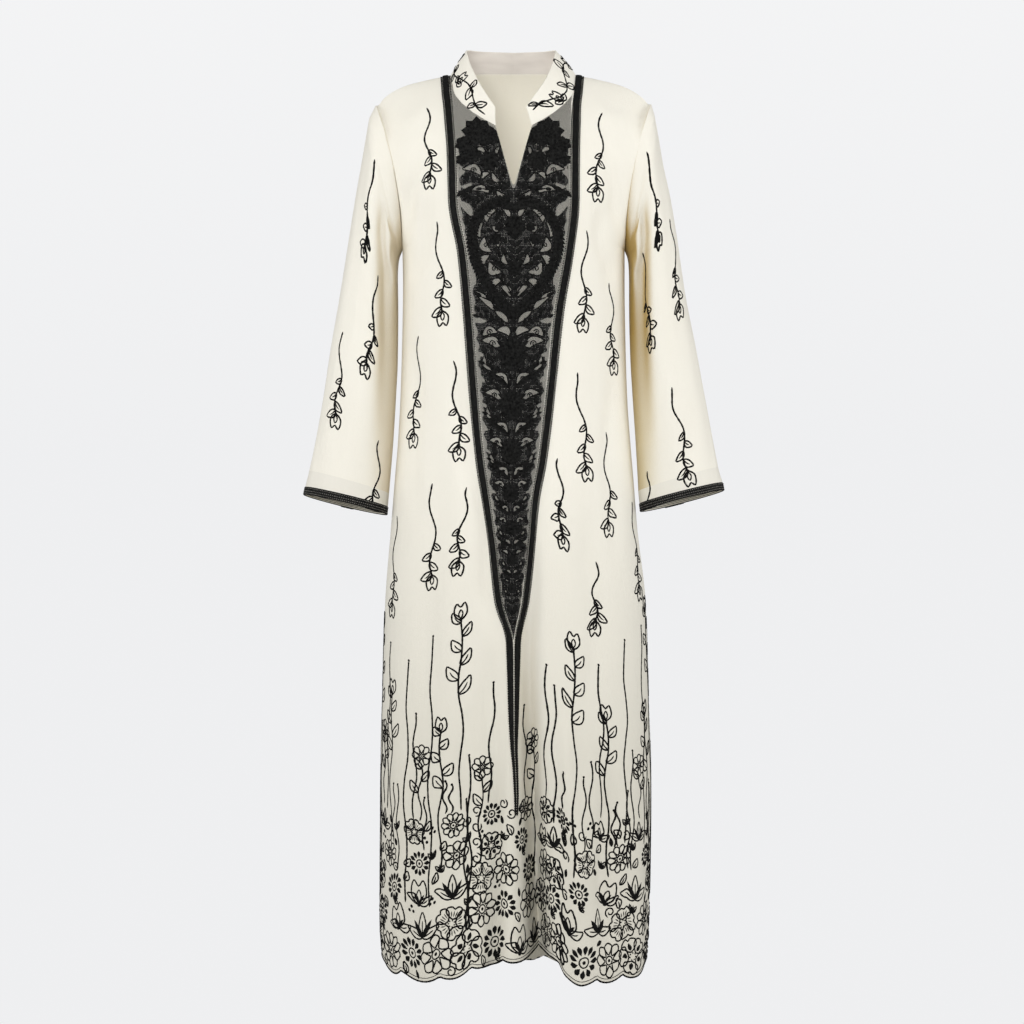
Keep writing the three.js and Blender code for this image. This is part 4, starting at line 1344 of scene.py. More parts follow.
def cuff_dashes(sleeve):
    """Rows of short pale stitches on the cuff band."""
    work = Needlework(sunk=0.1)
    for above, count in ((2.2, 132), (6.1, 118), (10.2, 126)):
        row = np.full(2, sleeve.points.shape[0] - 1 - above / cuff_drop(sleeve))
        for start in TURNS * np.arange(count) / count:
            spots, outs = sleeve.spots(row, np.array([start, start + TURNS / 2 / count]))
            work.tube(spots + outs * 1.12, outs, 0.55, 0.3, False, False)
    return work


def hem_cord(cloth, face):
    """The corded edge of a hem: a stout cord on the very edge and a thin one above it."""
    work = Needlework(sunk=0.5)
    columns = np.arange(0, cloth.points.shape[1] - 1, 0.5)
    last = cloth.points.shape[0] - 1.0
    spots, outs = cloth.spots(np.full(columns.shape, last), columns)
    down = ways_down(unit(cloth.points[-1] - cloth.points[-2]), columns)
    radius = 1.55 + 0.22 * np.sin(reaches(spots) * 1.5)
    lift, fall = (0.2, 0.7) if face == "front" else (0.9, -0.6)
    centre = spots + outs * (lift - CREPE_THICK / 2) + down * fall
    turn = 2 * np.pi * np.arange(7) / 7
    ring = np.cos(turn)[:, None, None] * outs + np.sin(turn)[:, None, None] * down
    tube = (centre + ring * radius[:, None]).transpose(1, 0, 2)
    index = numbered(len(columns), 7)
    faces = list(quads(closed_round(index), flip=True)) + [index[0][::-1], index[-1]]
    work.add(tube.reshape(-1, 3), faces)
    step = float(np.mean(cloth.drop[-1] - cloth.drop[-2]))
    spots, outs = cloth.spots(np.full(columns.shape, last - 4.6 / step), columns)
    work.sunk = 0.15
    work.tube(spots[::2], outs[::2], 1.3, 0.8)
    return work


# ---------- the embroidery: stems, leaf sprigs, buds and daisies ----------
LINE = 3.4  # width of an embroidered line


def laid_from(cloth, place):
    """Lays flat points on a cloth by their distances from a place on it."""

    def lay(sideways, down):
        return cloth.spots(*cloth.walk(place, sideways, down))

    return lay


def wavy(length, lean, sway, phase, waves=1.4, up=False):
    """A gently wandering stem from its start to a given length."""
    t = np.linspace(0, 1, 11)
    side = lean * t + sway * np.sin(2 * np.pi * waves * t + phase) * np.sin(np.pi * t) ** 0.5
    return np.stack([side, (-length if up else length) * t], -1)


def outline_leaf(work, lay, base, degrees, length, width, curl=0.12):
    """A leaf drawn as an outline with a midrib. 0 degrees points up the cloth."""
    t = np.array([0.0, 0.22, 0.5, 0.78, 1.0])
    half = width / 2 * np.array([0.0, 0.8, 1.0, 0.62, 0.0])
    bend = curl * length * np.sin(np.pi * t)
    one = np.stack([bend + half, -length * t], -1)
    other = np.stack([bend - half, -length * t], -1)[-2:0:-1]
    loop = spin(np.concatenate([one, other]), degrees, base)
    work.cord(lay, loop, LINE * 0.92, 0.9, closed=True, step=2.8)
    rib = np.stack([bend, -length * t], -1)[:4] * [[1, 0.85]]
    work.cord(lay, spin(rib, degrees, base), LINE * 0.75, 0.8, step=3.4)


def satin_leaf(work, lay, base, degrees, length, width):
    """A leaf filled with satin stitch."""
    tip = spin([(0, -length)], degrees, base)[0]
    work.leaf(lay, base, tip, width, 1.1)


def mirrored_loop(side):
    """A closed outline from the points of its right side, foot and tip on the middle line."""
    side = np.array(side, float)
    return np.concatenate([side, side[-2:0:-1] * [-1, 1]])


BUD = mirrored_loop([(0, 0), (0.42, -0.3), (0.46, -0.72), (0.28, -1.12), (0, -0.86)])
BUD_HEART = np.array([(0, -0.1), (0.15, -0.38), (0.02, -0.68), (-0.15, -0.38)])
ROSE_PETAL_SIDE = np.array([(0.1, -0.3), (0.5, -0.55), (0.52, -0.86), (0.22, -1.0), (0, -0.88)])
ROSE_PETAL = np.concatenate([ROSE_PETAL_SIDE, ROSE_PETAL_SIDE[-2::-1] * [-1, 1]])
ROSE_VEIN = np.array([(0, -0.42), (0, -0.6), (0, -0.76)])


def bud(work, lay, base, degrees, size):
    """A tulip bud: an outline, a heart drawn in it and a knot at its foot."""
    work.cord(lay, spin(BUD * size, degrees, base), LINE * 0.95, 0.95, closed=True, step=2.8)
    heart = spin(BUD_HEART * size, degrees, base)
    work.cord(lay, heart, LINE * 0.8, 0.85, closed=True, step=2.4)
    work.knot(lay, tuple(base), size * 0.14, 1.3)


def daisy(work, lay, centre, radius, petals, turn=0.0, filled=False, heart=0.24):
    """A daisy: looped or satin petals round a small ring and a knot."""
    inner = radius * heart
    for k in range(petals):
        degrees = turn + 360 * k / petals
        wide = 1.6 * radius * math.sin(math.pi / petals)
        if filled:
            foot = spin([(0, -inner * 1.2)], degrees, centre)[0]
            tip = spin([(0, -radius)], degrees, centre)[0]
            work.leaf(lay, foot, tip, wide * 0.86, 1.1, widest=0.6, steps=4)
            continue
        long = radius - inner
        t = np.array([0.02, 0.3, 0.68, 1.0])
        half = wide / 2 * np.array([0.12, 0.6, 1.0, 0.0])
        one = np.stack([half, -inner * 1.12 - long * t], -1)
        other = np.stack([-half, -inner * 1.12 - long * t], -1)[-2::-1]
        loop = spin(np.concatenate([one, other]), degrees, centre)
        work.cord(lay, loop, LINE * min(0.9, 0.5 + radius / 60), 0.85, closed=True, step=2.8)
    around = 2 * np.pi * np.arange(9) / 9
    ring = np.stack([np.cos(around), np.sin(around)], -1) * inner * 0.85 + centre
    work.cord(lay, ring, LINE * 0.8, 0.95, closed=True, step=2.4)
    work.knot(lay, tuple(centre), inner * 0.36, 1.3, 7)


def rosette(work, lay, centre, radius, turn, dark=False):
    """A wild rose: five broad notched petals with veins or satin hearts, and stamens."""
    for k in range(5):
        degrees = turn + 72 * k
        petal = spin(ROSE_PETAL * radius, degrees, centre)
        work.cord(lay, petal, LINE * 0.9, 0.9, closed=True, step=2.8)
        if dark:
            foot = spin([(0, -radius * 0.36)], degrees, centre)[0]
            satin_leaf(work, lay, foot, degrees, radius * 0.42, radius * 0.3)
            continue
        for lean in (-17, 0, 17):
            vein = spin(spin(ROSE_VEIN * radius, lean), degrees, centre)
            work.cord(lay, vein, LINE * 0.6, 0.65, step=2.6)
    for k in range(7):
        spot = spin([(0, -radius * 0.2)], turn + 51.4 * k, centre)[0]
        work.knot(lay, tuple(spot), 1.5, 1.1, 5)


def fan(work, lay, base, degrees, size, leaves=5):
    """A fan of leaves from one foot, outlined and satin in turn."""
    for k in range(leaves):
        lean = degrees + (k - (leaves - 1) / 2) * 34
        long = size * (1.0 - 0.07 * abs(k - (leaves - 1) / 2))
        if k % 2:
            satin_leaf(work, lay, base, lean, long * 0.86, size * 0.24)
        else:
            outline_leaf(work, lay, base, lean, long, size * 0.36, 0.0)


def tendril(work, lay, centre, radius, start, way):
    """A small spiral tendril."""
    t = np.linspace(0, 1, 13)
    angle = np.radians(start) + way * 2.4 * np.pi * t
    size = radius * (1 - 0.7 * t)
    path = np.stack([size * np.sin(angle), -size * np.cos(angle)], -1) + centre
    work.cord(lay, path, LINE * 0.85, 0.85, step=2.8)


def hanging_sprig(work, lay, length, lean, phase, leaves):
    """A long stem that hangs down and ends in leaves and a bud."""
    size = 21.5  # of the lowest leaf
    path = wavy(length, lean, 6.5, phase)
    work.cord(lay, path, LINE)
    fine = rounded(path, 1.0)
    for k in range(leaves):
        spot = fine[int(len(fine) * (0.96 - 0.098 * k)) - 1]
        side = 1 if k % 2 else -1
        grown = size * (1 - 0.08 * k)
        outline_leaf(work, lay, spot, 180 - side * 50, grown, grown * 0.54, 0.1 * side)
    bud(work, lay, fine[-1], 180 - lean * 0.4, size * 0.95)


def climbing_stem(work, lay, height, lean, phase, pairs, size, flower):
    """A stem that climbs from the hem, with leaves near its top and a bud or daisy on it."""
    path = wavy(height, lean, 4.5, phase, 1.0 + height / 260, up=True)
    work.cord(lay, path, LINE)
    fine = rounded(path, 1.0)
    for k in range(pairs):
        spot = fine[max(0, len(fine) - 6 - int(k * size * 0.8))]
        side = 1 if k % 2 else -1
        grown = size * (0.78 + 0.06 * k)
        outline_leaf(work, lay, spot, side * 42, grown, grown * 0.58, 0.1 * side)
    if flower == "bud":
        bud(work, lay, fine[-1], lean * 0.2, size * 0.82)
    elif flower == "daisy":
        daisy(work, lay, fine[-1] - [0, size * 0.6], size * 0.7, 8)
    else:
        work.knot(lay, tuple(fine[-1]), 2.2, 1.2)


# Where the loose sprigs hang: across and up on the front and back, ring and turn on the sleeves.
SPRIGS = {
    "front": table(
        "x z length lean phase leaves",
        (-134, -58, 118, -10, 0.4, 4),
        (-118, -238, 138, 9, 2.2, 5),
        (-146, -412, 150, -8, 4, 5),
        (-92, -452, 132, 12, 1.1, 5),
        (-126, -640, 142, 8, 3.1, 4),
        (-72, -646, 112, -9, 5.2, 5),
        (-181, -690, 134, 6, 0.9, 4),
        (184, -668, 130, -6, 2.7, 5),
        (137, -66, 128, 9, 3.6, 5),
        (112, -252, 134, -6, 0.7, 4),
        (150, -330, 120, 8, 5, 5),
        (98, -470, 146, 10, 2.5, 5),
        (146, -560, 138, -8, 1.7, 4),
        (67, -602, 116, 5, 4.4, 5),
        (128, -760, 92, -6, 0.2, 4),
    ),
    "back": table(
        "x z length lean phase leaves",
        (-150, -92, 124, 8, 0.2, 4),
        (-78, -52, 132, -8, 1.4, 5),
        (4, -104, 138, 9, 2.6, 5),
        (90, -58, 128, -7, 3.2, 4),
        (148, -116, 118, 6, 4.1, 5),
        (-118, -256, 140, -9, 5, 5),
        (-40, -216, 146, 8, 0.6, 5),
        (52, -286, 140, -8, 1.9, 5),
        (124, -244, 132, 8, 2.2, 4),
        (-152, -424, 138, 8, 3.9, 5),
        (-70, -398, 142, -6, 4.8, 5),
        (16, -452, 138, 9, 5.6, 4),
        (88, -424, 144, -9, 0.9, 5),
        (156, -406, 122, 6, 1.2, 4),
        (-114, -594, 130, -8, 2.9, 5),
        (-30, -634, 128, 8, 3.3, 5),
        (58, -604, 118, -8, 4.3, 5),
        (130, -650, 126, 8, 5.1, 4),
        (-168, -690, 128, 7, 1.8, 5),
        (-76, -770, 120, -7, 4.6, 4),
        (24, -786, 116, 8, 2, 5),
        (176, -716, 124, -7, 3.5, 5),
        (98, -806, 108, 6, 0.5, 4),
    ),
    "left": table(
        "ring turn length lean phase leaves",
        (1.6, 62, 128, 8, 0.4, 5),
        (4.6, 104, 142, -9, 1.9, 5),
        (6.6, 46, 126, 9, 3.2, 5),
        (8.2, 132, 118, 4, 4.4, 4),
        (0.9, 292, 126, -8, 5.2, 5),
        (3.8, 236, 138, 8, 0.9, 5),
        (5.6, 322, 132, -8, 2.5, 4),
        (7.9, 262, 124, 8, 1.1, 5),
    ),
    "right": table(
        "ring turn length lean phase leaves",
        (0.9, 66, 122, -8, 2.1, 4),
        (3.6, 118, 136, 8, 0.3, 5),
        (4.4, 36, 130, -9, 4.9, 5),
        (7.4, 84, 134, 8, 3, 5),
        (9, 142, 96, -5, 5.5, 4),
        (1.4, 302, 126, 8, 1.4, 5),
        (4.1, 246, 138, -8, 3.7, 5),
        (6.3, 318, 124, 8, 0.6, 5),
        (8.2, 252, 120, -8, 2.8, 4),
    ),
}


def scattered_sprigs(cloth, face):
    """The loose hanging sprigs of one panel."""
    work = Needlework()
    for one, other, length, lean, phase, leaves in rows_of(SPRIGS[face]):
        if face in FACING:
            place = place_on(face, one, other)
        else:
            place = sleeve_row(one), (other if face == "left" else 360 - other) * TURNS / 360
        lay = laid_from(cloth, tuple(float(v) for v in place))
        hanging_sprig(work, lay, length, lean, phase, int(leaves))
    return work


class Hem:
    """Places along the hem of the front or back, and up from it."""

    def __init__(self, cloth, face):
        self.cloth, self.face = cloth, face
        self.side = cloth.side[-1]
        self.total = self.side[-1]
        self.x = cloth.points[-1, :, 0]
        self.turned = np.abs(np.gradient(self.x)) / np.gradient(self.side)
        self.turned[np.abs(self.x) > 140] = 1.0
        self.flowers = []  # place along, height above and size of each flower

    def at(self, over, values):
        return float(np.interp(over, self.side, values))

    def facing(self, over):
        """How squarely the cloth faces ahead above a place on the hem."""
        return self.at(over, self.turned)

    def spot(self, over, above):
        """Lays flat points from a place given by its distance along the hem and up from it."""
        column = self.at(over, np.arange(len(self.side)))
        drop = self.cloth.drop[:, int(min(column, self.cloth.drop.shape[1] - 2))]
        row = np.interp(drop[-1] - above, drop, np.arange(len(drop)))
        return laid_from(self.cloth, (float(row), column))

    def flower_tops(self, over):
        """The height of the flowers' tops at a place along the hem."""
        tops = [above + size for x, above, size in self.flowers if abs(x - over) < size * 0.8]
        return max(tops, default=100.0)

    def room_above(self, over, reach):
        """How far a stem can climb from the hem before it meets a hanging sprig or a braid."""
        x, hem = self.at(over, self.x), self.at(over, self.cloth.points[-1, :, 2])
        hanging = SPRIGS[self.face]
        ends = (hanging["z"] - hanging["length"])[np.abs(hanging["x"] - x) < reach + 12]
        room = min(ends - 40 - hem, default=2000.0)
        if self.face == "front":
            z = np.arange(-1160.0, -700.0, 10.0)
            half = braid_line["half"](z) + reach
            met = (x > braid_line["left"](z) - half) & (x < braid_line["right"](z) + half)
            room = min([room, *(z[met][:1] - hem - 12)])
        return float(room)


def border_flower(work, lay, kind, size, turn, rng):
    """One of the border's flowers, by its number from 0 to 7."""
    if kind in (0, 6):
        daisy(work, lay, (0, 0), size, 8 + kind // 3, turn, heart=0.3)
    elif kind == 1:
        rosette(work, lay, (0, 0), size, turn)
    elif kind in (2, 3):
        daisy(work, lay, (0, 0), size * 0.92, 12, turn, filled=True, heart=0.36)
        if kind == 2:
            fan(work, lay, (0, size * 0.9), 90, size * 0.6, 3)
    elif kind == 4:
        fan(work, lay, (0, size * 0.75), 0, size * 1.5)
    elif kind == 5:
        rosette(work, lay, (0, 0), size * 0.96, turn, dark=True)
    else:
        bud(work, lay, (0, size * 0.75), rng.uniform(-14, 14), size * 1.3)
        for lean in (-68, 68):
            outline_leaf(work, lay, (0, size * 0.7), lean, size * 1.05, size * 0.5)
            satin_leaf(work, lay, (0, size * 0.7), lean * 0.55, size * 0.7, size * 0.2)


def flower_rows(hem, work, rng):
    """Flowers in staggered rows, smaller and further apart as they climb."""
    number = 0
    for above, radius, pitch, shift in (
        (33, 28.0, 53.0, 0.0),
        (84, 26.0, 53.0, 0.5),
        (134, 24.0, 57.0, 0.15),
        (182, 22.0, 68.0, 0.7),
        (226, 20.0, 76.0, 0.3),
    ):
        over = pitch * (0.5 + shift)
        while over < hem.total - radius:
            lift = above + (rng.uniform(-3, 3) if number % 2 else rng.uniform(-1, 6))
            middle = over + rng.uniform(-3, 3)
            size = radius * rng.uniform(0.88, 1.04)
            hem.flowers.append((middle, lift, size))
            turn = rng.uniform(0, 60)
            kind = (number * 5 + above) % 8
            border_flower(work, hem.spot(middle, lift), kind, size, turn, rng)
            over += pitch
            number += 1


def gap_fillers(hem, work, rng):
    """Small leaves, tendrils and berries in the gaps between the flowers."""
    fillers = []
    for above in range(10, 250, 12):
        for over in np.arange(8.0 + above % 3 * 5, hem.total - 8, 15.0):
            near = min(math.hypot(over - x, above - z) - size for x, z, size in hem.flowers)
            apart = [math.hypot(over - x, above - z) for x, z in fillers[-90:]]
            if near < 6 or near > 26 or min(apart, default=99) < 19:
                continue
            fillers.append((over, above))
            if hem.facing(over) < 0.5:
                continue
            lay = hem.spot(over, above)
            kind = int(rng.integers(6))
            if kind == 0:
                tendril(work, lay, (0, 0), 8.5, rng.uniform(0, 360), rng.choice([-1, 1]))
            elif kind == 1:
                fan(work, lay, (0, 7), rng.uniform(-20, 20), 14, 3)
            elif kind == 2:
                for lean in (0, 120, 240):
                    work.knot(lay, tuple(spin([(0, -4.6)], lean)[0]), 2.8, 1.4)
            elif kind == 3:
                satin_leaf(work, lay, (0, 8), rng.uniform(-50, 50), 15, 7)
            else:
                outline_leaf(work, lay, (0, 9), rng.uniform(-50, 50), 17, 10)


# Climbing stems in turn: what each carries and its size, how tall it grows, pairs of leaves.
STEMS = (
    ("bud", 27.0, 470, 600, 6),
    ("plain", 0.0, 300, 430, 0),
    ("daisy", 24.0, 290, 350, 3),
    ("plain", 0.0, 430, 560, 0),
    ("bud", 25.0, 350, 440, 5),
    ("plain", 0.0, 230, 300, 0),
)


def stems_above(hem, work, rng):
    """Stems that climb out of the flowers, tall and short, in flower and plain in turn."""
    over, number, last_x, last_head = 8.0, int(rng.integers(6)), -999.0, -999.0
    while over < hem.total - 8:
        flower, size, low, high, leaves = STEMS[number % 6]
        x = hem.at(over, hem.x)
        if abs(x) < 180 and abs(x - last_x) < (12.5 if abs(x) < 140 else 9):
            over += 5
            continue
        last_x = x
        if flower != "plain" and abs(x) < 180 and abs(x - last_head) < 27:
            flower, size, leaves = "plain", 0.0, 0
        elif flower != "plain":
            last_head = x
        base = hem.flower_tops(over)
        tall = min(rng.uniform(low, high), hem.room_above(over, 8 + size * 0.7)) - base
        if tall > 40:
            lean = rng.uniform(-0.03, 0.03) * tall
            phase = rng.uniform(0, 6)
            pairs = min(leaves, int(tall / 26))
            climbing_stem(work, hem.spot(over, base), tall, lean, phase, pairs, size, flower)
        if number % 2 == 0 and hem.facing(over) > 0.8:
            beside = over + rng.uniform(8, 10)
            base = hem.flower_tops(beside)
            tall = min(rng.uniform(250, 320), hem.room_above(beside, 8)) - base
            if tall > 25:
                phase = rng.uniform(0, 6)
                climbing_stem(work, hem.spot(beside, base), tall, 0, phase, 0, 0.0, "plain")
        over += rng.uniform(14, 18)
        number += 1


def border(cloth, face, seed):
    """The deep border: packed flowers along the hem, with stems climbing out of them."""
    rng = np.random.default_rng(seed)
    stems, flowers = Needlework(), Needlework()
    hem = Hem(cloth, face)
    flower_rows(hem, flowers, rng)
    gap_fillers(hem, flowers, rng)
    stems_above(hem, stems, rng)
    return stems, flowers


def collar_vine(collar):
    """A running vine round the stand collar, with buds and leaves."""
    work = Needlework()
    middle = collar.points.shape[0] * 0.52
    side = collar.side[int(middle)]
    end = side[-1] / 2
    lay = laid_from(collar, (middle, float(np.interp(end, side, np.arange(len(side))))))

    def wave(over):
        return 7.5 * np.sin(over / 17.0)

    reach = np.linspace(14 - end, end - 14, 31)
    work.cord(lay, np.stack([reach, wave(reach)], -1), LINE * 0.85)
    for k, over in enumerate(np.arange(28 - end, end - 24, 30.5)):
        down = wave(over)
        if k % 3 == 1:
            bud(work, lay, (over, down + 7), 0, 16)
            outline_leaf(work, lay, (over, down + 7), 74, 14, 8, 0.0)
            outline_leaf(work, lay, (over, down + 7), -74, 14, 8, 0.0)
        else:
            side = 1 if k % 2 else -1
            outline_leaf(work, lay, (over, down), 90 - side * 52, 19, 11, 0.1 * side)
            outline_leaf(work, lay, (over, down), 270 - side * 56, 14, 8, 0.1)
    return work


# ---------- materials ----------
def new_group(name, inputs, outputs):
    """An empty shader node group with a Vector input and named numbers in and out."""
    group = bpy.data.node_groups.new(name, "ShaderNodeTree")
    group.interface.new_socket("Vector", in_out="INPUT", socket_type="NodeSocketVector")
    for socket, value in inputs.items():
        made = group.interface.new_socket(socket, in_out="INPUT", socket_type="NodeSocketFloat")
        made.default_value = value
    for socket in outputs:
        group.interface.new_socket(socket, in_out="OUTPUT", socket_type="NodeSocketFloat")
    source = group.nodes.new("NodeGroupInput")
    result = group.nodes.new("NodeGroupOutput")
    return group, source.outputs, result.inputs


def feed(tree, socket, value):
    """Links a socket to another, or sets it to a value."""
    if isinstance(value, bpy.types.NodeSocket):
        tree.links.new(value, socket)
    else:
        socket.default_value = value


def add_node(tree, kind, settings=None, **links):
    """A node with its settings and its inputs, which are named, or _0 and _1 by their order."""
    node = tree.nodes.new(kind)
    for key, value in (settings or {}).items():
        setattr(node, key, value)
    for key, value in links.items():
        feed(tree, node.inputs[int(key[1:]) if key[0] == "_" else key], value)
    return node


def maths(tree, operation, a, b):
    return add_node(tree, "ShaderNodeMath", {"operation": operation}, _0=a, _1=b).outputs[0]


def plus(tree, value, other, share):
    """A value plus a share of another."""
    return maths(tree, "ADD", value, maths(tree, "MULTIPLY", other, share))


def stretched(tree, vector, scale):
    settings = {"operation": "MULTIPLY"}
    return add_node(tree, "ShaderNodeVectorMath", settings, _0=vector, _1=scale).outputs[0]


def height_of(tree, vector):
    return add_node(tree, "ShaderNodeSeparateXYZ", Vector=vector).outputs["Z"]


def noise(tree, vector, scale, detail, rough):
    links = {"Vector": vector, "Scale": scale, "Detail": detail, "Roughness": rough}
    return add_node(tree, "ShaderNodeTexNoise", **links).outputs["Fac"]


def spread(tree, value, low, high, to_low=0.0, to_high=1.0):
    """Spreads a value's range from low to high over another, from 0 to 1 unless it is given."""
    links = {"Value": value, "From Min": low, "From Max": high, "To Min": to_low, "To Max": to_high}
    return add_node(tree, "ShaderNodeMapRange", **links).outputs["Result"]


def blended(tree, share, low, high):
    """A colour between two, by a value."""
    node = add_node(tree, "ShaderNodeMix", {"data_type": "RGBA"}, Factor=share)
    for socket, colour in zip((node.inputs[6], node.inputs[7]), (low, high)):
        feed(tree, socket, (*colour, 1) if isinstance(colour, tuple) else colour)
    return node.outputs[2]


def crepe_group():
    """Crinkled crepe: a fine grain, upright streaks and soft patches."""
    group, given, result = new_group(
        "crepe_surface", {"Streaks": 1.0}, ["Height", "Shade", "Patches"]
    )
    tall = stretched(group, given["Vector"], (1.0, 1.0, 0.34))
    crinkle = noise(group, tall, 1150.0, 3.0, 0.65)
    pebbles = noise(group, given["Vector"], 420.0, 2.0, 0.5)
    upright = stretched(group, given["Vector"], (1.0, 1.0, 0.085))
    streak = noise(group, upright, 95.0, 3.0, 0.6)
    broad = noise(group, upright, 26.0, 2.0, 0.5)
    grain = plus(group, crinkle, pebbles, 0.5)
    lines = plus(group, broad, streak, 1.2)
    group.links.new(plus(group, grain, lines, given["Streaks"]), result["Height"])
    shade = plus(group, crinkle, streak, 0.5)
    group.links.new(spread(group, shade, 0.45, 1.05), result["Shade"])
    patches = noise(group, stretched(group, given["Vector"], (1.0, 1.0, 0.5)), 7.0, 3.0, 0.5)
    group.links.new(spread(group, patches, 0.32, 0.68), result["Patches"])
    return group


def thread_group():
    """Embroidery thread: fine slanted strands with duller and brighter stitches."""
    group, given, result = new_group("thread_strands", {"Fineness": 1500.0}, ["Height", "Shade"])
    slanted = stretched(group, given["Vector"], (1.0, 0.6, 0.55))
    strand = noise(group, slanted, given["Fineness"], 2.0, 0.6)
    stitch = noise(group, given["Vector"], 260.0, 1.0, 0.5)
    both = maths(group, "ADD", strand, stitch)
    group.links.new(both, result["Height"])
    group.links.new(spread(group, both, 0.7, 1.3), result["Shade"])
    return group


def net_group():
    """Net: thin threads round small open cells."""
    group, given, result = new_group("net_mesh", {"Cells": 620.0, "Thread": 0.1}, ["Cover"])
    settings = {"feature": "DISTANCE_TO_EDGE", "voronoi_dimensions": "2D"}
    place = add_node(group, "ShaderNodeSeparateXYZ", Vector=given["Vector"]).outputs
    level = add_node(group, "ShaderNodeCombineXYZ", X=place["X"], Y=place["Z"]).outputs[0]
    links = {"Vector": level, "Scale": given["Cells"], "Randomness": 0.35}
    cells = add_node(group, "ShaderNodeTexVoronoi", settings, **links)
    thin = maths(group, "MULTIPLY", given["Thread"], 0.8)
    cover = spread(group, cells.outputs["Distance"], given["Thread"], thin)
    group.links.new(cover, result["Cover"])
    return group


GROUPS = {"crepe": crepe_group(), "thread": thread_group(), "net": net_group()}


def new_material(name, roughness, specular, sheen=0.0, sheen_roughness=0.4):
    """A Principled material with its plain values set, its tree and its object coordinates."""
    material = bpy.data.materials.new(name)
    material.use_nodes = True
    tree = material.node_tree
    shader = tree.nodes["Principled BSDF"]
    shader.inputs["Roughness"].default_value = roughness
    shader.inputs["Specular IOR Level"].default_value = specular
    shader.inputs["Sheen Weight"].default_value = sheen
    shader.inputs["Sheen Roughness"].default_value = sheen_roughness
    place = tree.nodes.new("ShaderNodeTexCoord").outputs["Object"]
    return material, tree, shader, place


def surface(tree, kind, place, **values):
    """The outputs of a shared group, placed in a material with its own values."""
    settings = {"node_tree": GROUPS[kind]}
    return add_node(tree, "ShaderNodeGroup", settings, Vector=place, **values).outputs


def bumped(tree, shader, height, strength, distance):
    links = {"Height": height, "Strength": strength, "Distance": distance}
    normal = add_node(tree, "ShaderNodeBump", **links).outputs["Normal"]
    tree.links.new(normal, shader.inputs["Normal"])


def tinted(colour, tint):
    return tuple(value * share for value, share in zip(colour, tint))


def crepe_material(name, pale, deep, streaks=1.0, hollow_shade=None, cuff=None, hem=None):
    """Matt crepe between two tones.

    Where a shade tint is given, the crepe gets painted shade: ambient occlusion blends its colour
    towards a darker, warmer tone in the body's own folds or, for a sleeve, in its folds and where
    it comes near the body, with a paler painted shade from the cuff tint lower down. Where a hem
    tone is given, the colour turns darker and greyer towards the hem."""
    material, tree, shader, place = new_material(name, 0.82, 0.18, 0.08, 0.5)
    crinkled = surface(tree, "crepe", place, Streaks=streaks)
    tone = plus(tree, maths(tree, "MULTIPLY", crinkled["Patches"], 0.5), crinkled["Shade"], 0.5)
    colour = blended(tree, tone, deep, pale)
    if hollow_shade:
        # Painted shade: ambient occlusion finds folds and recesses, and there the colour is blended
        # towards a darker, warmer tone.
        settings = {"samples": 8, "only_local": not cuff}
        reach = 0.11 if cuff else 0.08
        occlusion = add_node(tree, "ShaderNodeAmbientOcclusion", settings, Distance=reach)
        shade = spread(tree, occlusion.outputs["AO"], 0.85, 0.42)
        hollow_shade_colour = tinted(pale, hollow_shade)
        # Lower down a sleeve, the painted shade blends over to the paler cuff tint.
        if cuff:
            lower = spread(tree, height_of(tree, place), -0.40, -0.58)
            hollow_shade_colour = blended(tree, lower, hollow_shade_colour, tinted(pale, cuff))
        colour = blended(tree, shade, colour, hollow_shade_colour)
    # The colour turns darker and greyer towards the hem.
    if hem:
        colour = blended(tree, spread(tree, height_of(tree, place), -0.6, -1.14), colour, hem)
    tree.links.new(colour, shader.inputs["Base Color"])
    rough = spread(tree, crinkled["Shade"], 0.0, 1.0, 0.88, 0.76)
    tree.links.new(rough, shader.inputs["Roughness"])
    bumped(tree, shader, crinkled["Height"], 0.5, 0.0011)
    return material


def collar_lining_material():
    """The collar's inner face: darker and warmer than the outside, paler along its top edge, with
    faint level bands of stitching pressed through.
    """
    material, tree, shader, place = new_material("collar_inner_face", 0.8, 0.18, 0.12, 0.5)
    crinkled = surface(tree, "crepe", place, Streaks=0.2)
    bands = noise(tree, stretched(tree, place, (0.25, 0.25, 1.0)), 95.0, 1.0, 0.4)
    tone = spread(tree, bands, 0.35, 0.65)
    colour = blended(tree, tone, (0.65, 0.60, 0.545), (0.715, 0.665, 0.605))
    top_edge = spread(tree, height_of(tree, place), 0.052, 0.044)
    colour = blended(tree, top_edge, (0.84, 0.80, 0.72), colour)
    tree.links.new(colour, shader.inputs["Base Color"])
    bumped(tree, shader, plus(tree, crinkled["Height"], bands, 2.0), 0.35, 0.001)
    return material


def thread_material(name, dark, light, fineness, roughness, sheen):
    """Thread between two tones."""
    material, tree, shader, place = new_material(name, roughness, 0.08, sheen, 0.45)
    strands = surface(tree, "thread", place, Fineness=fineness)
    colour = blended(tree, strands["Shade"], dark, light)
    tree.links.new(colour, shader.inputs["Base Color"])
    rough = spread(tree, strands["Shade"], 0.0, 1.0, roughness + 0.08, roughness - 0.08)
    tree.links.new(rough, shader.inputs["Roughness"])
    bumped(tree, shader, strands["Height"], 0.5, 0.0005)
    return material


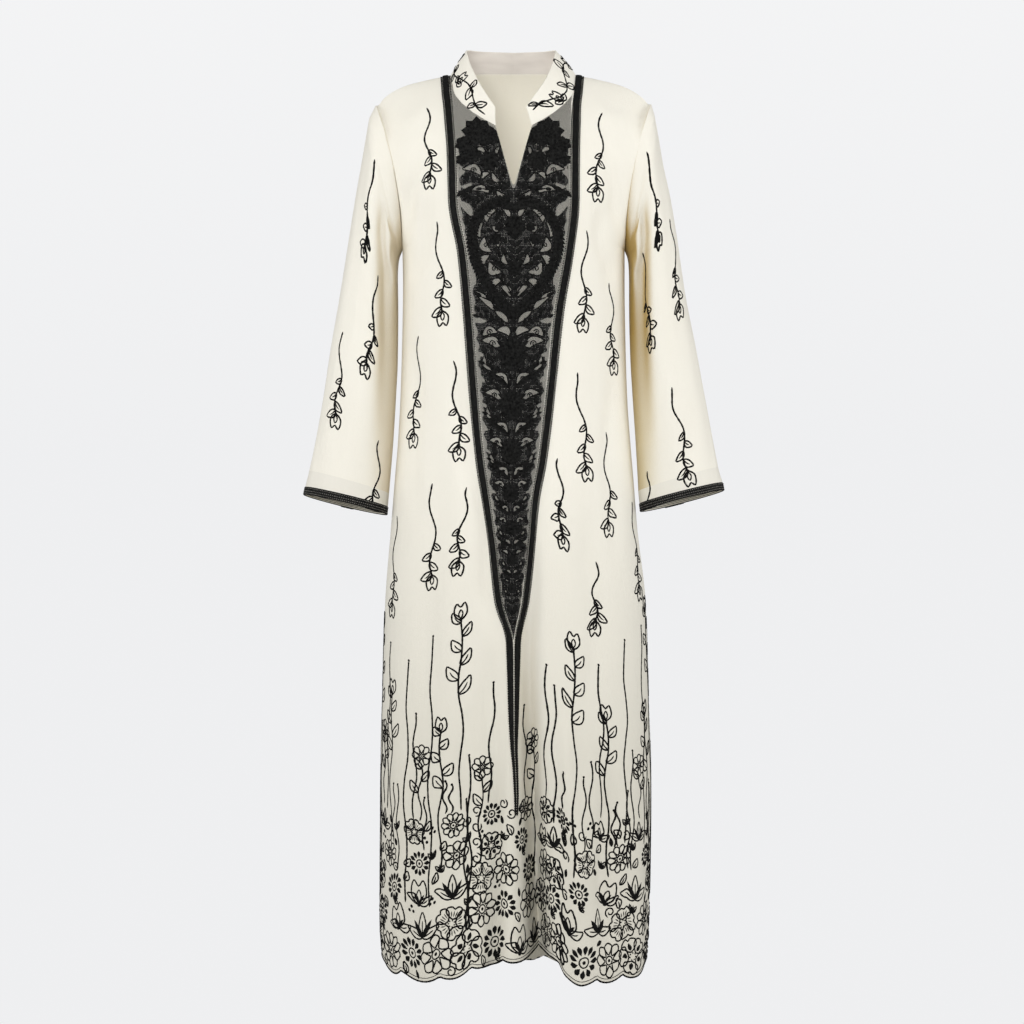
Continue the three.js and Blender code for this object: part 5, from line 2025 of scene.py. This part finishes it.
def net_material(name, cells, thread, worked=False):
    """Black net with open cells, close-worked where the lace's flowers are."""
    material, tree, shader, place = new_material(name, 0.7, 0.2)
    cover = surface(tree, "net", place, Cells=cells, Thread=thread)["Cover"]
    strands = surface(tree, "thread", place)
    colour = blended(tree, strands["Shade"], (0.006, 0.006, 0.006), (0.02, 0.02, 0.019))
    tree.links.new(colour, shader.inputs["Base Color"])
    if worked:
        close = surface(tree, "net", place, Cells=430.0, Thread=0.34)["Cover"]
        inside = add_node(tree, "ShaderNodeAttribute", {"attribute_name": "worked"}).outputs["Fac"]
        inside = spread(tree, inside, 0.46, 0.54)
        cover = maths(tree, "MAXIMUM", cover, maths(tree, "MULTIPLY", close, inside))
    tree.links.new(cover, shader.inputs["Alpha"])
    return material


# Each thread's dark and light tones, fineness, roughness and sheen.
THREADS = {
    "embroidery_cord": ((0.0022, 0.0022, 0.0022), (0.009, 0.009, 0.0085), 1500.0, 0.75, 0.01),
    "lace_satin_stitch": ((0.0004, 0.0004, 0.0004), (0.018, 0.018, 0.017), 620.0, 0.78, 0.006),
    "plaited_braid": ((0.002, 0.002, 0.002), (0.012, 0.012, 0.011), 1300.0, 0.66, 0.015),
    "stitched_cuff_band": ((0.003, 0.003, 0.003), (0.02, 0.02, 0.019), 1100.0, 0.62, 0.02),
    "pale_stitches": ((0.30, 0.29, 0.26), (0.62, 0.59, 0.53), 1400.0, 0.75, 0.02),
}
CREAM = (0.93, 0.90, 0.805)
# Painted shade for each sleeve: a darker, warmer tone in its folds and where it comes near the
# body, stronger on the right sleeve, and a paler one towards the cuff.
SLEEVE_PAINTED_SHADE = {
    "left": {"hollow_shade": (0.74, 0.66, 0.53), "cuff": (0.86, 0.79, 0.68)},
    "right": {"hollow_shade": (0.51, 0.36, 0.12), "cuff": (0.74, 0.65, 0.46)},
}
# The body's crepe gets painted shade in its own folds, and turns darker and greyer towards the hem.
crepe = crepe_material(
    "crepe", CREAM, (0.885, 0.85, 0.75), hollow_shade=(0.66, 0.56, 0.40), hem=(0.735, 0.705, 0.61)
)
sleeve_crepes = {
    side: crepe_material(side + "_sleeve_crepe", CREAM, (0.89, 0.855, 0.755), **shade_tints)
    for side, shade_tints in SLEEVE_PAINTED_SHADE.items()
}
crepe_inner = crepe_material("crepe_inner_face", (0.93, 0.893, 0.785), (0.89, 0.85, 0.735))
cuff_hem = crepe_material("cuff_turned_hem", (0.885, 0.855, 0.765), (0.82, 0.79, 0.705), 0.4)
collar_inner = collar_lining_material()
embroidery, lace_thread, braid_thread, cuff_satin, pale_thread = (
    thread_material(name, *finish) for name, finish in THREADS.items()
)
lace_net = net_material("lace_net", 640.0, 0.14, worked=True)
braid_net = net_material("braid_net", 760.0, 0.12)


# ---------- the garment ----------
front, back = panel("front"), panel("back")
sleeves = {side: sleeve_cloth(side) for side in SIGN}
collar = collar_cloth(front, back)
net = net_cloth(front, 0.9)

pieces = {
    "body_front": shell("front_cloth", front, CREPE_THICK, [crepe, crepe_inner]),
    "body_back": shell("back_cloth", back, CREPE_THICK, [crepe, crepe_inner]),
    "collar": shell("collar_cloth", collar, COLLAR_THICK, [crepe, collar_inner]),
}
for side in SIGN:
    faces = [sleeve_crepes[side], crepe_inner, cuff_hem]
    pieces["sleeve_" + side] = shell(
        side + "_sleeve_cloth", sleeves[side], CREPE_THICK, faces, hem_rows=17
    )
pieces["lace_panel"] = shell("lace_net_ground", net, 0.3, [lace_net, lace_net])
trims = {node: [] for node in pieces}


def trimmed(cloth_node, work, name, material, node=None):
    """Makes a piece of needlework and files it under the cloth that it is sewn on."""
    piece = work.piece(name, [material])
    if node:
        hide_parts(node)
    trims[cloth_node].append(piece)


def mark_worked_net(worked_at):
    """Marks how far each point of the lace's net lies inside the flowers."""
    x, z = net.points[..., 0], net.points[..., 2]
    shares = worked_at(x - lace_middle(z), -z).ravel()
    mesh = pieces["lace_panel"].data
    rim = np.zeros(len(mesh.vertices) - 2 * len(shares))
    mark = mesh.attributes.new("worked", "FLOAT", "POINT")
    mark.data.foreach_set("value", np.concatenate([shares, shares, rim]).astype(np.float32))


flowers, worked_at = lace_pattern(front)
trimmed("lace_panel", flowers, "lace_flowers", lace_thread)
mark_worked_net(worked_at)
for side in SIGN:
    band, edging = braid_band(front, side)
    trimmed("body_front", band, side + "_braid_plait", braid_thread, "braid_" + side)
    edging_piece = shell(side + "_braid_edging", edging, 0.3, [braid_net, braid_net])
    trims["body_front"].append(edging_piece)
    sleeve, arm = sleeves[side], "sleeve_" + side
    band_node = "cuff_band_" + side
    trimmed(arm, cuff_band(sleeve), side + "_cuff_stitching", cuff_satin, band_node)
    trimmed(arm, cuff_dashes(sleeve), side + "_cuff_dashes", pale_thread)
    trimmed(arm, scattered_sprigs(sleeve, side), side + "_sleeve_sprigs", embroidery)
for face, cloth, seed in (("front", front, 21), ("back", back, 34)):
    body, cord_node = "body_" + face, "hem_cord_" + face
    trimmed(body, hem_cord(cloth, face), face + "_hem_edging", embroidery, cord_node)
    trimmed(body, scattered_sprigs(cloth, face), face + "_sprigs", embroidery)
    stems, flowers = border(cloth, face, seed)
    trimmed(body, stems, face + "_border_stems", embroidery)
    trimmed(body, flowers, face + "_border_flowers", embroidery)
trimmed("collar", collar_vine(collar), "collar_vine", embroidery)

# Each cloth's node, slot, flat size and cut area, in metres, and what it rests on. Only the node is
# used: its CAD part is hidden.
for node, slot, flat, area, rests in (
    ("body_front", "crepe", (0.73, 1.44), 0.74, "back_cloth"),
    ("body_back", "crepe", (0.64, 1.45), 0.74, "front_cloth"),
    ("sleeve_left", "crepe", (0.57, 0.62), 0.18, "front_cloth"),
    ("sleeve_right", "crepe", (0.57, 0.62), 0.18, "front_cloth"),
    ("collar", "crepe", (0.55, 0.05), 0.02, "front_cloth"),
    ("lace_panel", "lace", (0.21, 0.86), 0.08, "front_cloth"),
):
    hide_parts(node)


# ---------- studio ----------
def backdrop():
    """A plain pale floor that curves up into a plain wall all round."""
    profile = [(0.0, -3.4), (4.0, -3.4), (7.5, -3.4)]
    for turn in np.radians(np.arange(11.25, 91, 11.25)):
        profile.append((7.5 + 2.5 * math.sin(turn), -0.9 - 2.5 * math.cos(turn)))
    profile += [(10.0, 2.0), (10.0, 6.0), (7.0, 9.0), (0.0, 10.0)]
    radius, height = np.array(profile).T[..., None]
    turn = 2 * np.pi * np.arange(64) / 64
    points = np.stack([radius * np.cos(turn), radius * np.sin(turn), 0 * turn + height], -1)
    faces = quads(closed_round(numbered(len(profile), 64)), flip=True)
    mesh = bpy.data.meshes.new("studio_bowl")
    mesh.from_pydata(points.reshape(-1, 3).tolist(), [], faces.tolist())
    mesh.validate()
    mesh.shade_smooth()
    paint = bpy.data.materials.new("studio_paint")
    paint.use_nodes = True
    tree = paint.node_tree
    tree.nodes.clear()
    place = tree.nodes.new("ShaderNodeTexCoord").outputs["Object"]
    # The backdrop glows with its own light and is painted a little darker low down than up the
    # wall, as painted shade.
    rise = spread(tree, height_of(tree, place), -0.4, 1.7)
    colour = blended(tree, rise, (0.86, 0.864, 0.875), (0.898, 0.901, 0.909))
    glow = add_node(tree, "ShaderNodeEmission", Color=colour)
    result = tree.nodes.new("ShaderNodeOutputMaterial")
    tree.links.new(glow.outputs[0], result.inputs["Surface"])
    mesh.materials.append(paint)
    bowl = placed("studio_bowl", mesh)
    for rays in ("diffuse", "glossy", "transmission", "volume_scatter", "shadow"):
        setattr(bowl, "visible_" + rays, False)


def softbox(name, place, aim, size, power):
    """A square lamp, unseen by the camera, aimed at a place."""
    lamp = bpy.data.lights.new(name, "AREA")
    lamp.shape = "SQUARE"
    lamp.size = size
    lamp.energy = power
    holder = placed(name, lamp)
    holder.location = place
    holder.rotation_euler = (Vector(aim) - Vector(place)).to_track_quat("-Z", "Y").to_euler()
    holder.visible_camera = False


def front_camera(place, lens):
    """A camera that looks level at the front."""
    glass = bpy.data.cameras.new("front_camera")
    glass.sensor_width, glass.lens, glass.clip_end = 36, lens, 60
    camera = placed("front_camera", glass)
    camera.location = place
    camera.rotation_euler = (math.radians(90), 0, 0)
    bpy.context.scene.camera = camera


backdrop()
air = bpy.data.worlds.new("studio_air")
air.use_nodes = True
sky = air.node_tree.nodes["Background"].inputs
sky["Color"].default_value = (1.0, 1.0, 1.0, 1)
sky["Strength"].default_value = 0.36
bpy.context.scene.world = air
heart = (0, 0, -0.7)  # the middle of the garment
softbox("front_softbox", (-0.8, -3.6, 0.5), (0, 0, -0.5), 1.5, 63)
softbox("top_softbox", (0, -0.8, 4.2), heart, 4.0, 5)
softbox("left_softbox", (-4.6, -2.2, 0.4), heart, 3.5, 78)
softbox("right_softbox", (4.6, -2.2, 0.4), heart, 3.5, 120)
softbox("back_softbox", (0.5, 5.2, 0.8), heart, 2.4, 140)
softbox("neck_light", (0, -0.06, -0.14), (0, 0.1, -0.1), 0.1, 0.095)
front_camera((-0.00235, -5.0, -0.684), 112.1)
bpy.context.scene.view_settings.view_transform = "Standard"
